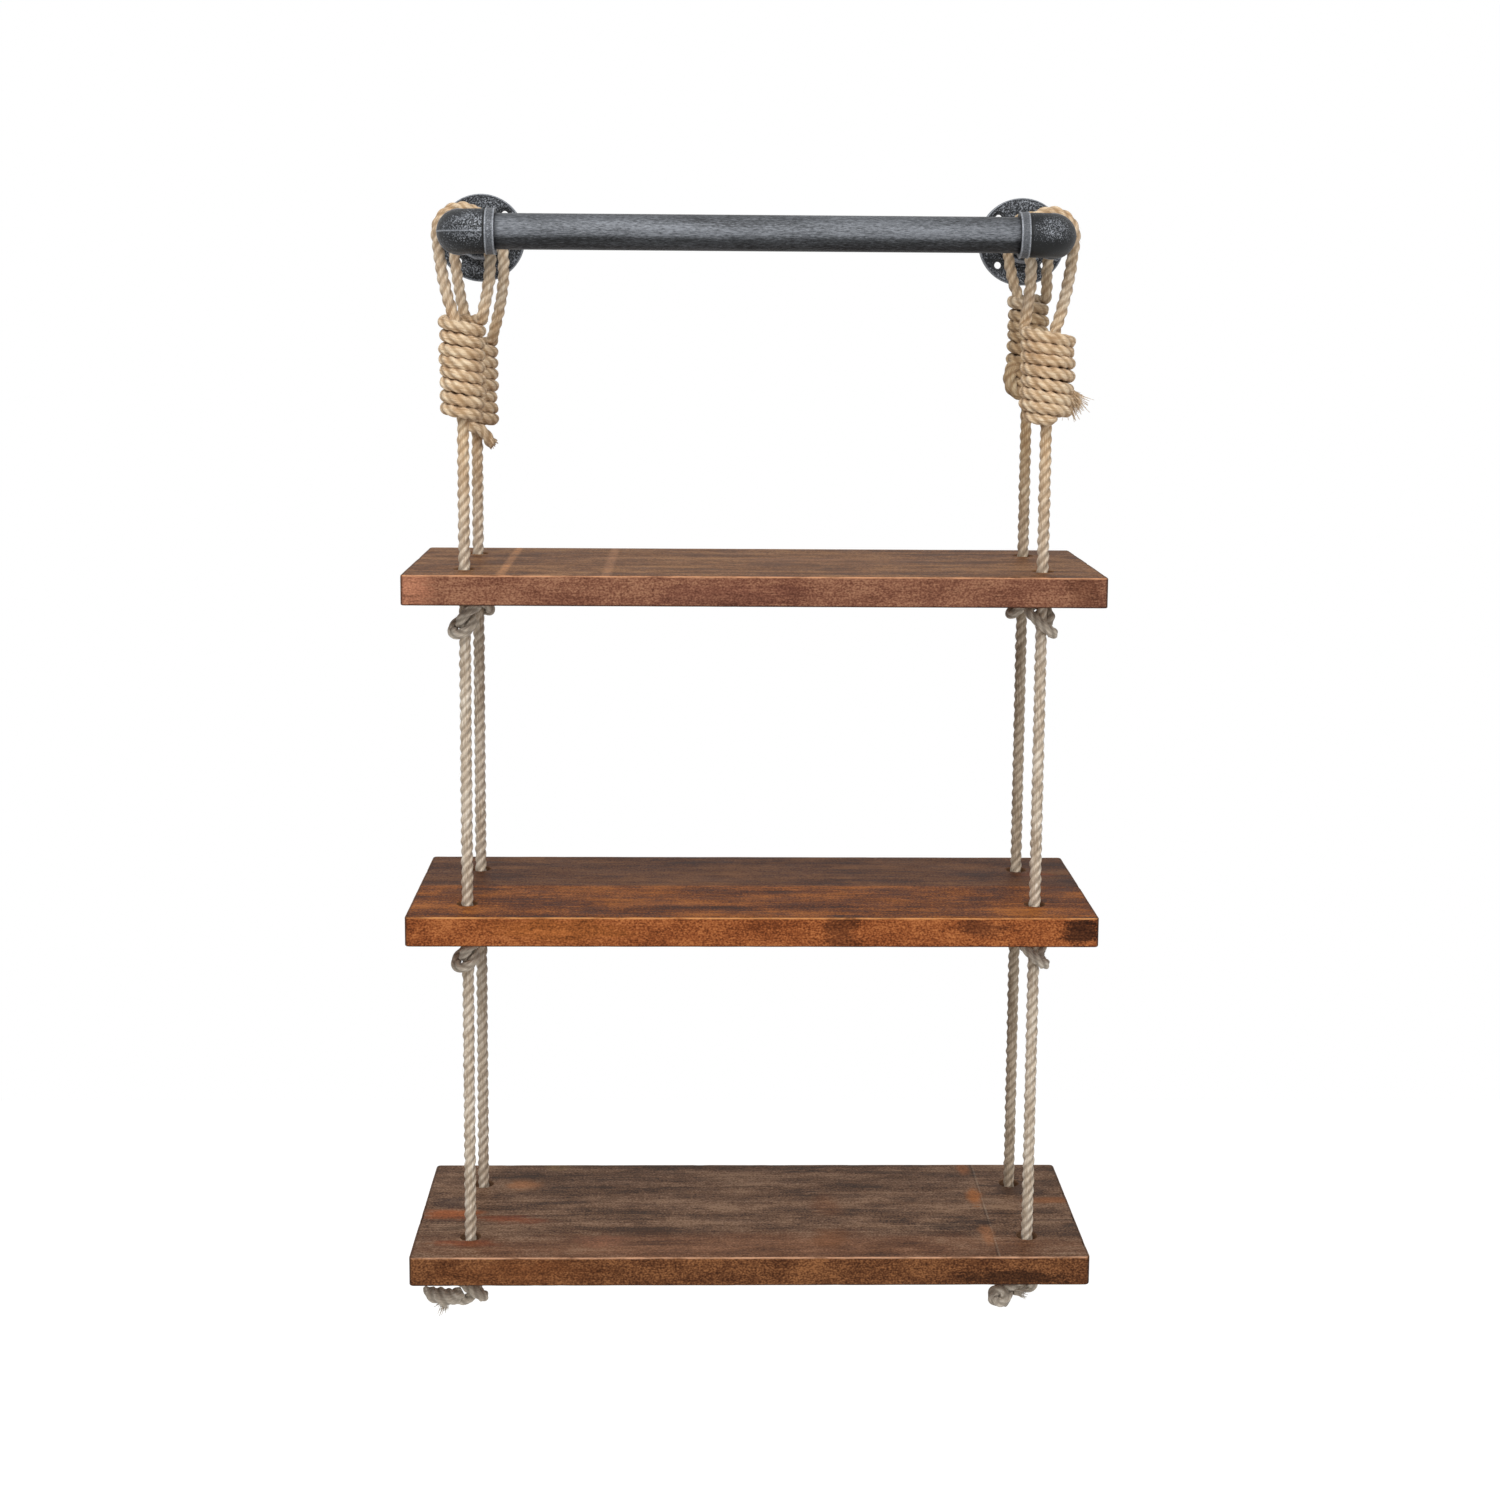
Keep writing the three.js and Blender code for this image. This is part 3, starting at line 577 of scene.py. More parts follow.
def jute_rope(name, seed, warm, cool, cool_from=-150.0, cool_to=-250.0):
    """Three-strand laid jute, spun from coarse plant fibre: matt, hairy, each strand streaked with paler and
    darker fibres that run along the rope, with painted shade in a darker brown in the grooves between the
    strands. warm and cool are (dark, middle, light, groove shade) colours, and the rope passes from one to
    the other as it goes down."""
    finish, node, place = new_material(name)
    lie = node("Attribute", output="Vector", attribute_name="straight")
    deep = node("Attribute", output="Fac", attribute_name="groove")
    # Fibres are half a millimetre across, coarser than real ones so that they show, and yarns 1.3 mm.
    # The rope drifts in tone over 11 mm and has brown blotches of 6 mm
    nowhere = (0, 0, 0)
    fibres, yarns, drift, browning = (
        node("TexNoise", {"Vector": node("Mapping", {"Vector": source, "Location": shift, "Scale": bumps}),
                          "Scale": 1.0, "Detail": detail, "Roughness": rough})
        for source, shift, bumps, detail, rough in (
            (lie, nowhere, (2.1, 2.1, 0.2), 3.0, 0.65),
            (lie, nowhere, (0.75, 0.75, 0.06), 2.0, 0.55),
            (place, (seed * 31.0, 0, 0), (0.09, 0.09, 0.03), 3.0, 0.55),
            (place, (0, seed * 19.0, 0), (0.17, 0.17, 0.17), 4.0, 0.7),
        ))
    broad = node("Math", (node("Math", (yarns, drift), operation="ADD"), 0.5), operation="MULTIPLY")
    spread = node("Math", (node("Math", (fibres, 0.75), operation="MULTIPLY"), broad), operation="ADD")
    middle = node("Math", (spread, 0.375), operation="SUBTRACT")
    height = node("SeparateXYZ", (place,), 2)
    from_warm = node("Math", (height, cool_from), operation="SUBTRACT")
    low = node("Math", (from_warm, cool_to - cool_from), operation="DIVIDE", use_clamp=True)
    # The loops between the rack and the windings are greyer than the rope above and below them
    rise = node("Math", (node("Math", (height, 75.0), operation="ADD"), 90.0), operation="DIVIDE")
    loop_stops = [(0.15, grey(0.0)), (0.3, grey(0.5)), (0.82, grey(0.5)), (1.0, grey(0.0))]
    low = node("Math", (low, node("ValToRGB", (rise,), stops=loop_stops)), operation="MAXIMUM")
    browned = node("ValToRGB", (browning,), stops=[(0.50, grey(0.0)), (0.66, grey(0.5))])
    # Painted shade: the groove colour is laid over the rope where it lies deep between strands and at the
    # roots of frayed yarns
    shade = node("ValToRGB", (deep,), stops=[(0.55, grey(0.0)), (1.0, grey(0.6))])
    tones = []
    for dark, plain, light, groove in (map(linear, colours) for colours in (warm, cool)):
        colour = node("ValToRGB", (middle,), stops=[(0.34, dark), (0.5, plain), (0.66, light)])
        for amount, tint in ((browned, dark), (shade, groove)):
            colour = node("Mix", {0: amount, 6: colour, 7: tint}, 2, data_type="RGBA")
        tones.append(colour)
    ridges = node("Math", (node("Math", (fibres, 0.6), operation="MULTIPLY"), yarns), operation="ADD")
    shader = node("BsdfPrincipled", {
        "Base Color": node("Mix", {0: low, 6: tones[0], 7: tones[1]}, 2, data_type="RGBA"),
        "Roughness": 0.95,
        "Specular IOR Level": 0.1,
        "Sheen Weight": 0.15,
        "Sheen Roughness": 0.6,
        "Normal": node("Bump", {"Strength": 0.8, "Distance": 0.0008, "Height": ridges}),
    })
    node("OutputMaterial", (shader,), None)
    return finish


# The last of each four colours is the painted shade of the grooves
warm_jute = ("#B18F6B", "#DCBF9B", "#F1DDBE", "#98754F")
cool_jute = ("#AE9A84", "#D9C8B2", "#EEE3D3", "#8A7763")
shaded_warm_jute = ("#A08360", "#C2A682", "#D8C4A2", "#876643")
shaded_cool_jute = ("#98856F", "#C2B099", "#DACBB6", "#7E6C57")
knot_jute = ("#A3978A", "#C8BAA8", "#E4DACB", "#85786A")
noose_jute = jute_rope("laid_jute", 1, warm_jute, cool_jute)
# Painted shade: the rear right rope gets a darker copy of the jute
noose_jutes = {"rear_right": jute_rope("laid_jute_painted_shade", 3, shaded_warm_jute, shaded_cool_jute)}
shelf_jute = jute_rope("laid_jute_of_the_knots", 2, knot_jute, knot_jute)


def curl_line():
    """A rope end curled up: circles round a level axis whose radius shrinks as it goes."""
    turn = np.linspace(0, 1, 90)
    angle = curl_start - full_turn * curl_turns * turn
    reach = curl_radii[0] + (curl_radii[1] - curl_radii[0]) * turn
    return np.column_stack([reach * np.cos(angle), -curl_lean * turn, reach * np.sin(angle)]) + curl_centre


def stem(place, root, way):
    """A short line that ends at a fray's root and points the way its yarns set off."""
    root = place + np.array(root)
    return np.array([root - way, root])


def lower_end(corner, knot, radius, seat, seed):
    """What a rope ends in under the lower board: a loose fuller end, a curl, or just a frayed cut."""
    ends = {
        "front_left": (catmull(loose_end_points), loose_end_radii, loose_fray, loose_root_and_way),
        "front_right": (curl_line(), [curl_rope_radius] * 2, curl_fray, curl_root_and_way),
    }
    made, fray = [], knot_fray
    if corner in ends:
        line, radii, fray, root_and_way = ends[corner]
        surface = laid_rope(line + seat, radii, knot_rope_step, seed + 1)[:3]
        made.append(piece(f"loose_end_{corner}", shelf_jute, *surface))
        knot = stem(seat, *root_and_way)
    brush = frayed_end(knot, radius, fray, seed)
    return made + [piece(f"frayed_end_{corner}", shelf_jute, *brush)]


def noose_end(corner, line, axis, own_jute, seed):
    """What shows of a noose's cut end: a stub, a frayed fan or an end folded back. None on the front left."""
    if corner == "rear_left":
        brush = frayed_end(line, coil_rope_radius, stub_fray, seed + 50)
        return [piece(f"frayed_stub_{corner}", noose_jute, *brush)]
    if corner == "front_right":
        brush = frayed_end(stem(axis, *fan_root_and_way), coil_rope_radius, fan_fray, seed + 50)
        return [piece(f"frayed_fan_{corner}", noose_jute, *brush)]
    if corner == "rear_right":
        fold = catmull(fold_points) + axis
        surface = laid_rope(fold, [fold_rope_radius] * 2, knot_rope_step, seed + 70)[:3]
        return [piece(f"folded_end_{corner}", own_jute, *surface)]
    return []


def board_knot(corner, level, axis, seed):
    """The knot under one board. Returns it with its line, its rope's radius and the place of its seat."""
    seat = axis + [0, 0, board_tops[level] - board_thickness]
    room = roll_room if corner == "front_left" else 0.0
    ending = end_knots[corner] if level == "lower" else None
    turn, drop, share = knot_turn[corner], 0, 1.0
    if ending:
        turn, drop, share = ending["turn"], ending["drop"], end_knot_share
    knot = knot_line(turn, room + drop, ending) + seat
    radius = knot_rope_radius * share
    surface = laid_rope(knot, [radius] * 2, knot_rope_step, seed)[:3]
    made = piece(f"laid_knot_{corner}_{level}", shelf_jute, *surface)
    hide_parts(f"knot_{corner}_{level}")
    return made, knot, radius, seat


def make_rope(side, row):
    """One rope: its line from under the lowest board up to the end of its winding, with the pieces on it."""
    corner = f"{row}_{side}"
    noose = nooses[corner]
    sign = side_sign[side]
    axis = np.array([sign * rope_x, row_y[row], 0])
    seed = 10 * (sign + 2) + (1 if row == "front" else 2)
    own_jute = noose_jutes.get(corner, noose_jute)
    rise = np.linspace(board_tops["lower"] - board_thickness - rope_foot, -noose["drop"] - core_depth, 200)
    upright = np.column_stack([0 * rise, 0 * rise, rise])
    line = np.vstack([upright, noose_line(noose)[1:]]) + axis
    whole = distances(line)[-1]
    coil_from = whole - noose["turns"] * full_turn * (noose["across"] / 2 - coil_rope_radius)
    at = np.linspace(0, whole, 800)
    radii = np.where(at < coil_from - coil_lead, rope_radius, coil_rope_radius)
    *surface, length, path = laid_rope(line, radii, rope_step, seed)
    body = piece(f"laid_rope_{corner}", own_jute, *surface)
    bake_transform(body)
    names = [f"noose_{corner}"] + [f"rope_{corner}_{level}" for level in board_tops]
    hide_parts(*names)
    extras = noose_end(corner, line, axis, own_jute, seed)
    for part in extras:
        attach(part, f"loops_{side}")
    for level in board_tops:
        made, knot, radius, seat = board_knot(corner, level, axis, seed + 100 + len(extras))
        pieces = [made]
        if level == "lower":
            pieces += lower_end(corner, knot, radius, seat, seed + 60)
        for part in pieces:
            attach(part, f"corner_knot_{level}" if corner == "front_left" else f"shelf_{level}")
        extras += pieces


for side in side_sign:
    for row in row_y:
        make_rope(side, row)


# Surfaces that are put together from loose quads

def welded(quads):
    """Joins quads where their corners meet within a hundredth of a millimetre. Quads that shrink to a line
    are dropped, and those that shrink to a triangle keep three corners."""
    corners = np.vstack([np.asarray(q, float).reshape(-1, 3) for q in quads])
    key = np.round(corners * 100).astype(np.int64)
    _, first, inverse = np.unique(key, axis=0, return_index=True, return_inverse=True)
    loose = inverse.reshape(-1, 4)
    faces = [list(dict.fromkeys(face)) for face in loose.tolist()]
    return corners[first], [face for face in faces if len(face) > 2]


def strip(rows):
    """The quads between rings of points: rows is (rows, points, 3), each ring closed on itself."""
    rows = np.asarray(rows, float)
    ahead = np.roll(rows, -1, axis=1)
    return np.stack([rows[:-1], ahead[:-1], ahead[1:], rows[1:]], axis=2).reshape(-1, 4, 3)


def holed_plate(a_lines, b_lines, place, holes):
    """A flat sheet as a grid of lines, sent to its shape by place. Round each hole a cell of the grid gives
    way to a patch of rings that pass from the hole's circle to the cell's border. holes lists (centre,
    radius, low and high line numbers along a and along b). Returns 2-D quads and the loop of points round
    each hole."""
    a, b = np.meshgrid(a_lines, b_lines, indexing="ij")
    grid = place(a, b)
    quads = np.stack([grid[:-1, :-1], grid[1:, :-1], grid[1:, 1:], grid[:-1, 1:]], axis=2)
    keep = np.ones(quads.shape[:2], bool)
    parts, loops = [], []
    share = np.linspace(0, 1, 5)[:, None, None]
    for centre, radius, (a0, a1, b0, b1) in holes:
        keep[a0:a1, b0:b1] = False
        border = np.vstack([grid[a1, b0:b1], grid[a1:a0:-1, b1], grid[a0, b1:b0:-1], grid[a0:a1, b0]])
        away = border - centre
        circle = centre + radius * away / np.linalg.norm(away, axis=1)[:, None]
        rings = circle + (border - circle) * share ** 1.3
        ahead = np.roll(rings, -1, axis=1)
        parts.append(np.stack([rings[:-1], rings[1:], ahead[1:], ahead[:-1]], axis=2).reshape(-1, 4, 2))
        loops.append(circle)
    return np.vstack([quads[keep]] + parts), loops


def lifted(flat, height, upside=False):
    """Puts 2-D quads at a height, facing down when upside is set."""
    solid = np.concatenate([flat, np.full(flat.shape[:-1] + (1,), height)], axis=-1)
    return solid[:, ::-1] if upside else solid


# Boards

board_grid = 3.0
rope_cell = 12.0  # half the side of the square cell round a rope hole
hole_softness = 0.8
corner_lines = 3
edge_steps = 4
wall_rows = 6
# The edges' softness: the lengths of its waves, and the knocks' number, widths and depths
edge_wave_lengths = (47, 19, 8.3)
knocks, knock_width, knock_depth = 26, (1.5, 5), (0.2, 0.9)
least_softness, most_softness = 0.6, 2.1


def interval_lines(stops, step):
    """Numbers from the first stop to the last that pass through every stop, about a step apart."""
    parts = [np.linspace(p, q, max(1, round((q - p) / step)) + 1)[:-1] for p, q in zip(stops[:-1], stops[1:])]
    return np.r_[np.concatenate(parts), stops[-1]]


def edge_softness(loop, seed, worn):
    """The edge radius at each point of a loop: a gently varying radius with a few dents from knocks."""
    rng = np.random.default_rng(seed)
    way = distances(loop)
    waves = sum(np.sin(way / length + rng.uniform(0, full_turn)) for length in edge_wave_lengths) / 3
    places = rng.uniform(0, way[-1], knocks)
    widths = rng.uniform(*knock_width, knocks)
    depths = rng.uniform(*knock_depth, knocks)
    dents = sum(depth * np.exp(-((way - at) / wide) ** 2) for at, wide, depth in zip(places, widths, depths))
    return np.clip(1.0 + 0.25 * waves + worn * dents, least_softness, most_softness)


def board_surface(level, seed):
    """A plank: a gridded face above and below, joined by walls that turn through a quarter circle at each
    edge and at each rope hole. A corner's cells are bent so that their square border becomes a quarter
    circle. Returns points, faces and the attributes that say where the stain is worn, where shade is painted
    along the lower edges and the ends, and where the hole walls are painted lighter against their shade."""
    half_width, half_depth = board_width / 2, board_depth / 2
    middle_y = board_rear_y - half_depth
    inner_x, inner_y = half_width - board_corner, half_depth - board_corner
    rows = sorted(y - middle_y for y in row_y.values())
    near = [c + d for c in (-rope_x, rope_x) for d in (-rope_cell, rope_cell)]
    across = [c + d for c in rows for d in (-rope_cell, rope_cell)]
    corner_run = np.linspace(0, board_corner, corner_lines + 1)
    a_lines = np.r_[-half_width + corner_run[:-1], interval_lines([-inner_x, *near, inner_x], board_grid),
                    half_width - corner_run[-2::-1]]
    b_lines = np.r_[-half_depth + corner_run[:-1], interval_lines([-inner_y, *across, inner_y], board_grid),
                    half_depth - corner_run[-2::-1]]

    def place(a, b):
        """The point of the board's face for a point of the grid, bent to a quarter circle in a corner."""
        u = np.clip((np.abs(a) - inner_x) / board_corner, 0, 1)
        v = np.clip((np.abs(b) - inner_y) / board_corner, 0, 1)
        bent_a = np.sign(a) * (np.minimum(np.abs(a), inner_x) + board_corner * u * np.sqrt(1 - v * v / 2))
        bent_b = np.sign(b) * (np.minimum(np.abs(b), inner_y) + board_corner * v * np.sqrt(1 - u * u / 2))
        return np.stack([bent_a, bent_b], axis=-1)

    def line_at(lines, value):
        """The number of the grid line at a value."""
        return int(np.argmin(np.abs(lines - value)))

    holes = []
    for x in (-rope_x, rope_x):
        for y in rows:
            box = (line_at(a_lines, x - rope_cell), line_at(a_lines, x + rope_cell),
                   line_at(b_lines, y - rope_cell), line_at(b_lines, y + rope_cell))
            holes.append((np.array([x, y]), hole_radius + hole_softness, box))
    flat, loops = holed_plate(a_lines, b_lines, place, holes)
    grid = place(*np.meshgrid(a_lines, b_lines, indexing="ij"))
    outline = np.vstack([grid[:-1, 0], grid[-1, :-1], grid[:0:-1, -1], grid[0, :0:-1]])
    along = np.roll(outline, -1, axis=0) - np.roll(outline, 1, axis=0)
    outward = np.column_stack([along[:, 1], -along[:, 0]]) / np.linalg.norm(along, axis=1)[:, None]

    def softened(quads, soft):
        """Moves the sheet's border in to where the edge's rounding starts."""
        corners = quads.reshape(-1, 2).copy()
        table = {tuple(k): i for i, k in enumerate(np.round(outline * 100).astype(int).tolist())}
        found = [(n, table[tuple(k)]) for n, k in enumerate(np.round(corners * 100).astype(int).tolist())
                 if tuple(k) in table]
        which, source = np.array(found).T
        corners[which] -= outward[source] * soft[source, None]
        return corners.reshape(quads.shape)

    angle = np.linspace(0, math.pi / 2, edge_steps + 1)[:, None, None]

    def rounding(loop, normal, soft, z, sign):
        """Rings of a quarter circle from the flat face out to the wall."""
        soft = soft[None, :, None]
        ring = loop - normal * soft * (1 - np.sin(angle))
        height = z - sign * soft * (1 - np.cos(angle))
        return np.concatenate([ring, np.broadcast_to(height, ring.shape[:2] + (1,))], axis=-1)

    worn_top = edge_softness(outline, seed, 1.0)
    worn_foot = edge_softness(outline, seed + 1, 0.6)
    top_rings = rounding(outline, outward, worn_top, 0.0, 1)
    foot_rings = rounding(outline, outward, worn_foot, -board_thickness, -1)[::-1]
    share = np.linspace(0, 1, wall_rows + 1)[1:-1, None, None]
    wall = top_rings[-1] + (foot_rings[0] - top_rings[-1]) * share
    parts = [
        lifted(softened(flat, worn_top), 0.0),
        lifted(softened(flat, worn_foot), -board_thickness, True),
        strip(np.concatenate([top_rings, wall, foot_rings]))[:, ::-1],
    ]
    for (centre, radius, _), loop in zip(holes, loops):
        inward = (centre - loop) / radius
        shallow = np.full(len(loop), hole_softness)
        above = rounding(loop + inward * hole_softness, inward, shallow, 0.0, 1)
        below = rounding(loop + inward * hole_softness, inward, shallow, -board_thickness, -1)[::-1]
        parts.append(strip(np.concatenate([above, below])))
    points, faces = welded(parts)
    x, y, z = points.T
    gap_x, gap_y = np.abs(x) - inner_x, np.abs(y) - inner_y
    rim = np.hypot(np.maximum(gap_x, 0), np.maximum(gap_y, 0)) + np.minimum(np.maximum(gap_x, gap_y), 0)
    inset = board_corner - rim
    depth = np.minimum(-z, z + board_thickness)
    hole_gap = np.min([np.hypot(x - c[0], y - c[1]) for c, _, _ in holes], axis=0) - hole_radius
    # foot and end mark where shade is painted along the lower edges and at the board's ends, and hole where
    # the hole walls are painted lighter against their shade
    attributes = {
        "arris": np.maximum(inset, depth),
        "side": np.clip(depth / 0.5, 0, 1) * (inset < board_corner) * (hole_gap > 2),
        "foot": np.clip((-z - board_thickness / 2) / 2, 0, 1),
        "hole": np.clip(1 - hole_gap / 0.6, 0, 1),
        "end": np.clip((np.abs(x) - half_width + 2.2) / 1.2, 0, 1),
    }
    return points + [0, middle_y, board_tops[level]], faces, attributes


# Wood

plank_seam_depth = 102.0  # how far from the wall two planks of one board meet
plank_seam_blur = 4.0


def spot(node, place, centre, half, wobble, ragged=0.35):
    """A soft-edged mask round a centre, in millimetres. A direction whose half size is zero doesn't count."""
    scale = tuple(1 / h if h else 0.0 for h in half)
    moved = node("VectorMath", (place, tuple(centre)), operation="SUBTRACT")
    sized = node("VectorMath", (moved, scale), operation="MULTIPLY")
    length = node("VectorMath", (sized,), "Value", operation="LENGTH")
    rough = node("Math", (wobble, 0.5), operation="SUBTRACT")
    rough = node("Math", (rough, 4 * ragged), operation="MULTIPLY")
    reach = node("Math", (length, rough), operation="ADD")
    return node("ValToRGB", (reach,), stops=[(0.45, grey(1.0)), (1.0, grey(0.0))])


def stained_wood(name, seed, face, wall, worn_line, face_marks, side_marks, planks=None):
    """Pine stained dark and rubbed back. The grain runs along X: broad bands, then streaks, then fine pores,
    each a noise drawn out along the plank. face and wall are (dark, middle, light) stains of the faces and
    the sides, and planks is the same for the front half of a board glued up from two planks. face_marks are
    local stains as (x, y, half sizes along both, colour, strength, raggedness), and side_marks have z in
    place of y."""
    finish, node, place = new_material(name)
    shift = (seed * 137.0, seed * 71.0, seed * 33.0)

    # The grain sways over 50 mm. Growth bands are about 17 mm wide, streaks 3 mm, fibres 0.7 mm, grit
    # 1.3 mm and blots 20 mm. Fibres and grit are coarser than real ones so that they show
    spread = node("Mapping", {"Vector": place, "Location": shift, "Scale": (0.006, 0.02, 0.02)})
    sway = node("TexNoise", {"Vector": spread, "Scale": 1.0, "Detail": 2.0, "Roughness": 0.55})
    aside = node("CombineXYZ", {1: node("Math", (sway, 16.0), operation="MULTIPLY")})
    bent = node("VectorMath", (place, aside), operation="ADD")
    bands, streaks, fibres, grit, blots, chafe = (
        node("TexNoise", {"Vector": node("Mapping", {"Vector": source, "Location": shift, "Scale": bumps}),
                          "Scale": 1.0, "Detail": detail, "Roughness": rough})
        for source, bumps, detail, rough in (
            (bent, (0.007, 0.06, 0.06), 3.0, 0.6),
            (bent, (0.022, 0.36, 0.36), 4.0, 0.7),
            (bent, (0.14, 1.5, 1.5), 3.0, 0.75),
            (place, (0.62, 0.8, 0.8), 1.0, 0.5),
            (place, (0.026, 0.05, 0.05), 4.0, 0.65),
            (place, (0.05, 0.3, 0.3), 4.0, 0.7),
        ))
    side, arris, hole, foot, end = (node("Attribute", output="Fac", attribute_name=kept)
                                    for kept in ("side", "arris", "hole", "foot", "end"))
    off_side = node("Math", (1.0, side), operation="SUBTRACT")

    def weighed(*parts):
        """A half, plus each pattern's part beyond a half times its weight."""
        total = 0.5
        for part, weight in parts:
            beyond = node("Math", (part, 0.5), operation="SUBTRACT")
            beyond = node("Math", (beyond, weight), operation="MULTIPLY")
            total = node("Math", (beyond, total), operation="ADD")
        return total

    def stain(tones, grain):
        """The stain's dark, middle and light tones, laid over the grain."""
        dark, middle, light = (linear(tone) for tone in tones)
        return node("ValToRGB", (grain,), stops=[(0.28, dark), (0.5, middle), (0.74, light)])

    grain = weighed((bands, 0.8), (blots, 0.8), (streaks, 0.8), (fibres, 0.7), (grit, 0.85))
    wall_grain = weighed((blots, 0.8), (streaks, 0.35), (fibres, 0.4), (grit, 1.0))
    edge_grain = weighed((streaks, 0.8), (blots, 1.2), (grit, 0.3))
    relief = weighed((fibres, 0.5), (streaks, 0.7), (grit, 0.35))
    top = stain(face, grain)
    if planks:
        wander = node("Math", (node("Math", (streaks, 0.5), operation="SUBTRACT"), 5.0), operation="MULTIPLY")
        from_seam = node("Math", (node("SeparateXYZ", (place,), 1), wander), operation="ADD")
        past = node("Math", (from_seam, plank_seam_depth + plank_seam_blur / 2), operation="ADD")
        rear = node("Math", (past, plank_seam_blur), operation="DIVIDE", use_clamp=True)
        top = node("Mix", {0: rear, 6: stain(planks, grain), 7: top}, 2, data_type="RGBA")
    colour = node("Mix", {0: side, 6: top, 7: stain(wall, wall_grain)}, 2, data_type="RGBA")
    # A mark keeps the grain: its colour is darkened and lightened as the stain round it is
    shade = node("Math", (node("Math", (grain, 1.7), operation="MULTIPLY"), 0.15), operation="ADD")
    marks = [(off_side, (x, y, 0), (wide, deep, 0), *rest) for x, y, wide, deep, *rest in face_marks]
    marks += [(side, (x, 0, z), (wide, 0, high), *rest) for x, z, wide, high, *rest in side_marks]
    for here, centre, half, tint, strength, ragged in marks:
        mask = spot(node, place, centre, half, edge_grain, ragged)
        amount = node("Math", (mask, here), operation="MULTIPLY")
        amount = node("Math", (amount, strength), operation="MULTIPLY")
        tinted = node("Mix", {0: 1.0, 6: linear(tint), 7: shade}, 2, data_type="RGBA", blend_type="MULTIPLY")
        colour = node("Mix", {0: amount, 6: colour, 7: tinted}, 2, data_type="RGBA")
    pores = node("ValToRGB", (fibres,), stops=[(0.30, grey(0.55)), (0.43, grey(0.0))])
    darkest = linear(face[0])
    colour = node("Mix", {0: pores, 6: colour, 7: darkest}, 2, data_type="RGBA", blend_type="MULTIPLY")
    edge_depth = node("Math", (arris, 4.0), operation="DIVIDE")
    edge = node("ValToRGB", (edge_depth,), stops=[(0.15, grey(1.0)), (0.33, grey(0.0))])
    patchy = node("ValToRGB", (chafe,), stops=[(0.36, grey(0.25)), (0.56, grey(1.0))])
    rubbed = node("Math", (edge, patchy), operation="MULTIPLY")
    upper = node("Math", (node("Math", (1.0, foot), operation="SUBTRACT"), 0.85), operation="MULTIPLY")
    # Painted shade: near black along the lower edges and at the board's ends. Painted light: the hole walls
    # are lightened against their shade. The light line on the upper edges is worn stain.
    in_shadow = node("Math", (node("Math", (edge, foot), operation="MULTIPLY"), end), operation="MAXIMUM")
    layers = [(rubbed, upper, worn_line), (in_shadow, 0.75, "#2A1A12"), (hole, 0.7, "#8A6A50")]
    for mask, strength, tint in layers:
        amount = node("Math", (mask, strength), operation="MULTIPLY")
        colour = node("Mix", {0: amount, 6: colour, 7: linear(tint)}, 2, data_type="RGBA")
    shader = node("BsdfPrincipled", {
        "Base Color": colour,
        "Roughness": node("ValToRGB", (streaks,), stops=[(0.3, grey(0.52)), (0.7, grey(0.68))]),
        "Specular IOR Level": 0.08,
        "Normal": node("Bump", {"Strength": 0.7, "Distance": 0.0003, "Height": relief}),
    })
    node("OutputMaterial", (shader,), None)
    return finish


